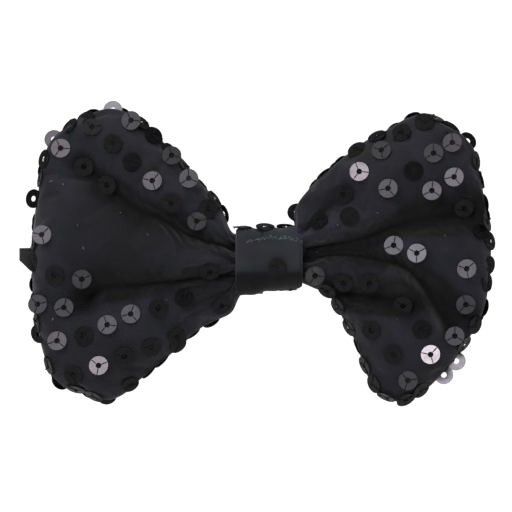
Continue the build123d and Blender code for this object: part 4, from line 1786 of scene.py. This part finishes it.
@dataclass
class HairClip:
    """The alligator clip: two plated arms, a rivet, a torsion spring and a ribbon lining.

    Attributes:
        wardrobe: The materials.
        ribbon: Thickness of the ribbon.
        wire: Diameter of the spring wire.
        turns: Turns of the coil.
        tip_cut: Cut off the lower corner of the ribbon's tip.
    """

    TIP_HALF = 3.0 * MM  # half the ribbon's width at the tip
    GRIP_GAP = 2.6 * MM  # from the hinge pin to the ribbon's end
    WAVE = 0.03 * MM  # how far the ribbon ripples
    COIL_RADIUS = 1.5 * MM

    wardrobe: Wardrobe
    ribbon: float = 0.36 * MM
    wire: float = 0.7 * MM
    turns: float = 3.5
    tip_cut: float = 2.7 * MM

    def lining(self) -> None:
        """Lay the ribbon along the arm, round its tip and back along the grip face."""
        low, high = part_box("clip_ribbon_lining")
        grip_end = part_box("clip_hinge_pin")[0].x - self.GRIP_GAP
        radius = (high.y - low.y - self.ribbon) / 2
        middle_y = (low.y + high.y) / 2
        tip_x = low.x + radius - 0.5 * MM
        near_tip = np.linspace(tip_x + self.tip_cut, tip_x, 6)
        path = [(x, middle_y - radius) for x in np.r_[np.linspace(high.x, near_tip[0], 56)[:-1], near_tip]]
        for turn in np.linspace(0, math.pi, 14)[1:-1]:
            path.append((tip_x - radius * math.sin(turn), middle_y - radius * math.cos(turn)))
        back_x = np.r_[near_tip[::-1], np.linspace(near_tip[0], grip_end, 42)[1:]]
        path += [(x, middle_y + radius) for x in back_x]
        line = np.array(path)
        run = run_along(line)
        across = np.linspace(-1, 1, 15)
        tail_half, tip_half = (high.z - low.z) / 2, self.TIP_HALF
        points, cloth = [], []
        for (x, y), gone in zip(line, run):
            share = min(max((x - low.x) / (high.x - low.x), 0.0), 1.0)
            half = tip_half + (tail_half - tip_half) * share
            lower = max(-half, self.tip_cut - tip_half - (x - tip_x + radius))
            for s in across:
                z = lower + (half - lower) * (s + 1) / 2
                points.append((x, y + self.WAVE * math.sin(gone * 900) * (1 - s * s), z))
                cloth.append((gone, z))
        index = np.arange(len(points)).reshape(len(line), len(across))
        piece = mesh_piece("ribbon_lining", np.array(points), grid_faces(index, True), np.array(cloth))
        thicken(piece, self.ribbon, 0.0)
        edge = piece.modifiers.new("rolled_edge", "BEVEL")
        edge.width = 0.1 * MM
        edge.segments = 2
        settle(piece)
        self.wardrobe.finish(piece, Slot.RIBBON, "clip_ribbon_lining")

    def spring(self) -> None:
        """Wind the torsion spring, which twists between the two arms as the clip opens."""
        low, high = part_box("clip_spring")
        pin_low, pin_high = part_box("clip_hinge_pin")
        centre = (pin_low + pin_high) / 2
        reach, radius = high.x, self.COIL_RADIUS
        coil_low, coil_high = low.z + self.wire / 2, high.z - self.wire / 2
        line = [Vector((reach, low.y + self.wire / 2, coil_low))]
        steps = int(self.turns * 28)
        for k in range(steps + 1):
            turn = -math.pi / 2 - math.tau * self.turns * k / steps
            z = coil_low + (coil_high - coil_low) * k / steps
            line.append(Vector((centre.x + radius * math.cos(turn), centre.y + radius * math.sin(turn), z)))
        line.append(Vector((reach, high.y - self.wire / 2, coil_high)))
        curve = bpy.data.curves.new("coil", "CURVE")
        curve.dimensions = "3D"
        curve.bevel_depth = self.wire / 2
        curve.bevel_resolution = 3
        curve.use_fill_caps = True
        spline = curve.splines.new("POLY")
        spline.points.add(len(line) - 1)
        for point, place in zip(spline.points, line):
            point.co = (*place, 1.0)
        host = link(bpy.data.objects.new("coil", curve))
        piece = link(bpy.data.objects.new("torsion_spring", shaped(host)))
        bpy.data.objects.remove(host)
        shade_smooth(piece.data)
        self.wardrobe.dress(piece, Slot.SPRING_STEEL)
        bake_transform(piece)
        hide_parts("clip_spring")
        log.info("%s: %d faces", piece.name, len(piece.data.polygons))

    def build(self) -> None:
        """Dress the arms and the rivet, and make the lining and the spring."""
        for node in ("clip_upper_arm", "clip_lower_arm", "clip_hinge_pin"):
            self.wardrobe.dress_node(node, Slot.PLATED_STEEL)
        self.lining()
        self.spring()


# Studio


class Studio:
    """Pale seamless stage, soft lights and a straight-on camera."""

    EYE = Vector((-3.4, -760.0, 0.9)) * MM
    KEY = Vector((-210.0, -640.0, 330.0)) * MM
    VIEW_WIDTH = 133.1 * MM
    SENSOR = 36.0
    SHARP_Y = -0.0098
    OFF_LIGHT = 0.26

    @classmethod
    def toward_light(cls, point: Vector) -> Vector:
        """The way a sequin faces when it sends the key light to someone in front."""
        return ((cls.EYE - point).normalized() + (cls.KEY - point).normalized()).normalized()

    @classmethod
    def turned_off_light(cls, normal: Vector) -> Vector:
        """A facing close to a normal, but far enough from the key light's glare."""
        glare = cls.toward_light(Vector((0.0, 0.0, 0.0)))
        angle = normal.angle(glare)
        if angle > cls.OFF_LIGHT:
            return normal
        axis = glare.cross(normal)
        if axis.length < 1e-4:
            axis = Vector((1.0, 0.0, 0.0))
        return Matrix.Rotation(cls.OFF_LIGHT - angle, 3, axis.normalized()) @ normal

    def stage(self) -> None:
        """Build a round floor that sweeps up into a wall on every side."""
        floor_z, inner, outer, top = -0.085, 1.05, 1.6, 1.5
        profile = [(0.0, floor_z), (0.5, floor_z), (inner, floor_z)]
        for turn in np.linspace(0, math.pi / 2, 12)[1:]:
            out, up = (outer - inner) * math.sin(turn), (outer - inner) * (1 - math.cos(turn))
            profile.append((inner + out, floor_z + up))
        profile.append((outer, top))
        count = 64
        points = [
            (r * math.cos(math.tau * k / count), r * math.sin(math.tau * k / count), z)
            for r, z in profile for k in range(count)
        ]
        index = np.arange(len(points)).reshape(len(profile), count)
        index = np.hstack([index, index[:, :1]])
        floor = mesh_piece("pale_stage", np.array(points), grid_faces(index, False))
        floor.data.materials.append(StageFinish().build())

    def lamp(self, name: str, place: Vector, size: float, power: float, target: Vector) -> None:
        """Add a soft square lamp.

        Args:
            name: Its name.
            place: Where it hangs.
            size: Side of the square.
            power: In watts.
            target: What it points at.
        """
        data = bpy.data.lights.new(name, "AREA")
        data.size = size
        data.energy = power
        lamp = link(bpy.data.objects.new(name, data))
        lamp.location = place
        lamp.rotation_euler = (target - place).to_track_quat("-Z", "Y").to_euler()

    def build(self) -> None:
        """Set the stage, the lamps, the sky and the camera."""
        self.stage()
        centre = Vector((0.0, 0.0, 0.0))
        self.lamp("key", self.KEY, 0.30, 1.9, centre)
        self.lamp("fill", Vector((0.75, -0.45, 0.15)), 0.5, 0.5, centre)
        self.lamp("top", Vector((-0.15, -0.12, 0.8)), 0.45, 3.2, centre)
        world = bpy.data.worlds.new("soft_sky")
        world.use_nodes = True
        sky = world.node_tree.nodes["Background"]
        sky.inputs[0].default_value = (1.0, 1.0, 1.0, 1.0)
        sky.inputs[1].default_value = 0.16
        bpy.context.scene.world = world
        bpy.context.scene.view_settings.view_transform = "Standard"
        data = bpy.data.cameras.new("camera")
        data.sensor_width = self.SENSOR
        data.lens = self.SENSOR * abs(self.EYE.y - self.SHARP_Y) / self.VIEW_WIDTH
        data.clip_start = 0.01
        camera = link(bpy.data.objects.new("camera", data))
        camera.location = self.EYE
        camera.rotation_euler = (math.pi / 2, 0.0, 0.0)
        bpy.context.scene.camera = camera


# The bow


def creases(*rows: Tuple[Sequence[Share], float, float, float, float]) -> List[Crease]:
    """Creases from rows of a path, depth and two half widths in millimetres, and fade."""
    return [Crease(path, *(size * MM for size in sizes), fade) for path, *sizes, fade in rows]


def in_light(*rows: Sequence[float]) -> List[LitSequin]:
    """Sequins from rows of X and Z in millimetres, painted glint and tint."""
    return [LitSequin(x * MM, z * MM, *rest) for x, z, *rest in rows]


def patches(*rows: Sequence[float]) -> List[Sequence[float]]:
    """Patches from rows of a middle and two half axes in millimetres."""
    return [tuple(value * MM for value in row) for row in rows]


def left_loop() -> PaddedLoop:
    """Describe the left loop, whose outer edge is broad and rounded."""
    return PaddedLoop(
        name="left",
        side=-1,
        upper=[
            (-0.04, 0.15), (0.02, 0.19), (0.06, 0.32), (0.10, 0.41), (0.17, 0.52), (0.33, 0.76),
            (0.49, 0.96), (0.61, 1.02), (0.72, 0.98), (0.80, 0.93),
        ],
        outer=[
            (0.84, -0.87), (0.91, -0.76), (0.96, -0.55), (0.99, -0.32), (1.00, 0.0), (0.99, 0.26),
            (0.96, 0.53), (0.92, 0.77), (0.80, 0.93),
        ],
        lower=[
            (-0.04, -0.17), (-0.01, -0.28), (0.03, -0.37), (0.16, -0.455), (0.29, -0.61), (0.45, -0.79),
            (0.56, -0.92), (0.66, -0.95), (0.74, -0.90), (0.84, -0.87),
        ],
        creases=creases(
            (
                ((0.0, 0.07), (0.19, 0.14), (0.36, 0.27), (0.48, 0.34), (0.59, 0.46), (0.66, 0.55),
                 (0.74, 0.63)),
                6.0, 1.6, 3.8, 0.7,
            ),
            (
                ((0.0, -0.11), (0.12, -0.12), (0.31, -0.15), (0.48, -0.175), (0.64, -0.19), (0.72, -0.26)),
                5.0, 1.6, 3.6, 1.35,
            ),
            (((0.0, -0.02), (0.10, 0.02), (0.22, 0.04)), 1.6, 1.2, 1.6, 0.1),
            (((0.14, 0.30), (0.25, 0.30), (0.42, 0.42)), 1.8, 1.4, 2.2, 0.2),
            (((0.02, -0.20), (0.16, -0.28), (0.34, -0.40)), 1.6, 1.4, 2.4, 0.2),
            (((0.12, 0.0), (0.5, 0.05), (0.87, 0.10)), -0.9, 4.0, 8.5, 1.0),
            (((0.30, 0.38), (0.52, 0.53), (0.67, 0.73)), -1.4, 2.4, 4.0, 1.2),
            (((0.30, -0.32), (0.5, -0.36), (0.7, -0.42)), -1.2, 3.0, 4.5, 1.0),
        ),
        back_creases=creases(
            (((0.0, 0.1), (0.3, 0.25), (0.7, 0.55)), 2.6, 1.8, 3.6, 0.3),
            (((0.0, -0.1), (0.4, -0.2), (0.8, -0.45)), 2.6, 1.8, 3.6, 0.3),
        ),
        lit=in_light(
            (-53.9, 28.7, 0.15, 0.8), (-43.7, -27.7, 0.32, 0.9), (-29.9, 20.0, 0.13, 0.3),
            (-54.5, -21.3, 0.12, 0.4), (-58.4, 5.9, 0.145, 0.3), (-41.5, -16.9, 0.10, 0.3),
            (-20.4, 20.4, 0.085, 0.3), (-35.5, -14.1, 0.09, 0.1), (-52.9, -12.5, 0.05, 0.2),
            (-48.0, -5.5, 0.045, 0.4), (-35.5, 35.6, 0.062, 0.4), (-59.6, -12.0, 0.052, 0.3),
            (-25.1, 26.4, 0.042, 0.4), (-18.6, 9.6, 0.0, 0.2),
        ),
        proud=in_light(
            (-40.6, 38.8, 0.3, 0.4), (-55.9, 31.2, 0.15, 0.6), (-61.2, 15.8, 0.0), (-59.9, -19.3, 0.0),
            (-42.0, -35.6, 0.0),
        ),
        dark=(
            (-45.7, 34.1), (-40.3, 29.8), (-35.3, 25.0), (-47.8, 24.4), (-41.3, 19.8), (-30.5, 31.5),
            (-25.1, 14.6), (-15.8, 13.2), (-55.2, -4.0), (-15.3, -2.9), (-47.6, -19.6), (-28.8, -12.3),
            (-24.0, -19.8), (-30.5, -22.4), (-37.3, -24.8), (-50.4, -29.6), (-22.0, -9.8),
        ),
        bare=patches(
            (-42.0, 4.0, 22.0, 11.5), (-24.0, 2.0, 12.0, 5.0), (-50.0, 17.0, 8.0, 6.0),
        ),
        painted_shade_patches=(
            (-40.5, 17.5, 6.5, 3.2, 2.2), (-34.0, 13.4, 5.0, 2.4, 2.2), (-41.6, -8.2, 7.0, 2.6, 2.4),
            (-42.0, 4.0, 19.0, 10.5, 2.1), (-33.0, -25.0, 9.0, 6.0, 1.4),
        ),
        specks=(
            (-54.9, 21.7), (-53.2, 19.2), (-56.1, 20.3), (-47.7, 3.3), (-55.6, -15.1), (-11.4, -5.6),
            (-31.0, 6.2), (-49.0, 8.6), (-26.2, -10.4), (-38.4, 12.1),
        ),
        seed=3,
    )


def right_loop() -> PaddedLoop:
    """Describe the right loop, whose lower corner is drawn down to a point."""
    return PaddedLoop(
        name="right",
        side=1,
        upper=[
            (-0.04, 0.15), (-0.045, 0.24), (-0.045, 0.31), (-0.01, 0.40), (0.04, 0.49), (0.12, 0.59),
            (0.30, 0.78), (0.43, 0.87), (0.55, 0.96), (0.64, 0.98), (0.74, 0.93), (0.83, 0.85),
        ],
        outer=[
            (0.54, -0.98), (0.66, -0.87), (0.75, -0.75), (0.83, -0.61), (0.92, -0.44), (0.97, -0.24),
            (0.99, 0.08), (0.96, 0.37), (0.93, 0.58), (0.90, 0.75), (0.83, 0.85),
        ],
        lower=[
            (-0.04, -0.14), (0.05, -0.19), (0.14, -0.25), (0.21, -0.40), (0.28, -0.57), (0.33, -0.76),
            (0.40, -0.92), (0.54, -0.98),
        ],
        creases=creases(
            (
                ((0.02, 0.075), (0.17, 0.11), (0.33, 0.15), (0.47, 0.22), (0.68, 0.28), (0.89, 0.32)),
                5.2, 1.3, 5.0, 1.3,
            ),
            (
                ((0.0, 0.0), (0.17, 0.03), (0.31, 0.02), (0.45, -0.015), (0.54, -0.06), (0.61, -0.15),
                 (0.66, -0.24), (0.75, -0.44)),
                5.4, 1.3, 2.6, 0.7,
            ),
            (((0.63, -0.13), (0.75, -0.27), (0.84, -0.35)), 2.8, 3.0, 4.6, 0.8),
            (((0.20, -0.22), (0.37, -0.25), (0.57, -0.30)), 6.5, 3.2, 4.4, 1.0),
            (((0.02, 0.20), (0.12, 0.33), (0.24, 0.43)), 2.0, 1.2, 3.4, 1.0),
            (((0.02, -0.08), (0.12, -0.10), (0.24, -0.13)), 1.4, 1.0, 1.8, 0.2),
            (((0.47, -0.08), (0.555, -0.195), (0.625, -0.33), (0.68, -0.46)), -2.0, 2.0, 2.6, 1.0),
            (((0.26, -0.40), (0.42, -0.44), (0.58, -0.42)), -1.3, 3.0, 3.4, 1.0),
            (((0.06, 0.15), (0.25, 0.22), (0.45, 0.31)), -1.4, 1.6, 2.6, 1.0),
            (((0.55, 0.07), (0.75, 0.06), (0.92, 0.03)), -1.2, 3.0, 4.6, 1.0),
        ),
        back_creases=creases(
            (((0.0, 0.1), (0.3, 0.25), (0.75, 0.55)), 2.6, 1.8, 3.6, 0.3),
            (((0.0, -0.1), (0.4, -0.12), (0.62, -0.45)), 2.6, 1.8, 3.6, 0.3),
        ),
        lit=in_light(
            (23.3, 22.5, 0.42, 0.9), (41.9, -25.0, 0.78, 1.0), (38.2, 1.2, 0.23, 0.2),
            (32.1, 3.5, 0.155, 0.2), (48.0, 20.8, 0.175, 0.3), (42.3, 17.2, 0.14, 0.3),
            (51.2, -2.9, 0.13, 0.2), (30.8, 17.9, 0.10, 0.4), (47.6, 29.8, 0.07, 0.5),
            (48.2, -20.1, 0.065, 0.0), (42.4, 27.2, 0.04, 0.5), (12.0, -4.6, 0.0, 0.4),
            (51.1, -12.0, 0.042, 1.0), (36.1, -31.6, 0.045, 0.0), (29.1, 27.9, 0.034, 0.4),
        ),
        proud=in_light(
            (51.6, 30.8, 0.0), (45.4, -30.0, 0.56, 0.3), (48.6, -26.4, 0.42, 0.3),
            (7.2, 12.2, 0.05, 0.5),
        ),
        dark=(
            (40.1, 35.4), (34.5, 32.4), (37.1, 22.8), (19.3, 16.8), (20.6, 11.1), (13.2, 9.6),
            (34.9, -11.0), (39.3, -17.9), (31.9, -24.4), (19.3, -5.8), (25.8, -5.8), (50.3, 13.7),
            (26.5, -18.0),
        ),
        bare=patches(
            (42.0, 9.5, 12.0, 4.5), (24.0, 3.5, 14.0, 4.0), (43.0, -8.0, 7.0, 7.0),
            (27.0, -11.5, 9.0, 4.0),
        ),
        painted_shade_patches=(
            (44.0, 9.8, 11.5, 3.8, 3.4), (27.0, -11.3, 10.0, 3.0, 3.6), (33.4, -9.6, 3.8, 4.2, 3.4),
            (41.4, -7.6, 5.5, 3.2, 2.8), (46.5, -12.3, 4.5, 4.0, 2.4), (45.0, 2.5, 8.0, 3.4, 1.2),
        ),
        specks=((21.0, 12.3), (27.9, 12.0), (17.6, 9.0), (33.0, -15.2), (12.6, 1.9), (45.1, 6.3)),
        seed=8,
    )


def main() -> None:
    """Build the bow and its studio, in order."""
    wardrobe = Wardrobe()
    shop = SequinShop(wardrobe)
    for loop in (left_loop(), right_loop()):
        loop.build(wardrobe, shop)
    Waist(wardrobe).build(shop)
    Backing(wardrobe).build()
    HairClip(wardrobe).build()
    Studio().build()


if __name__ == "__main__":
    main()
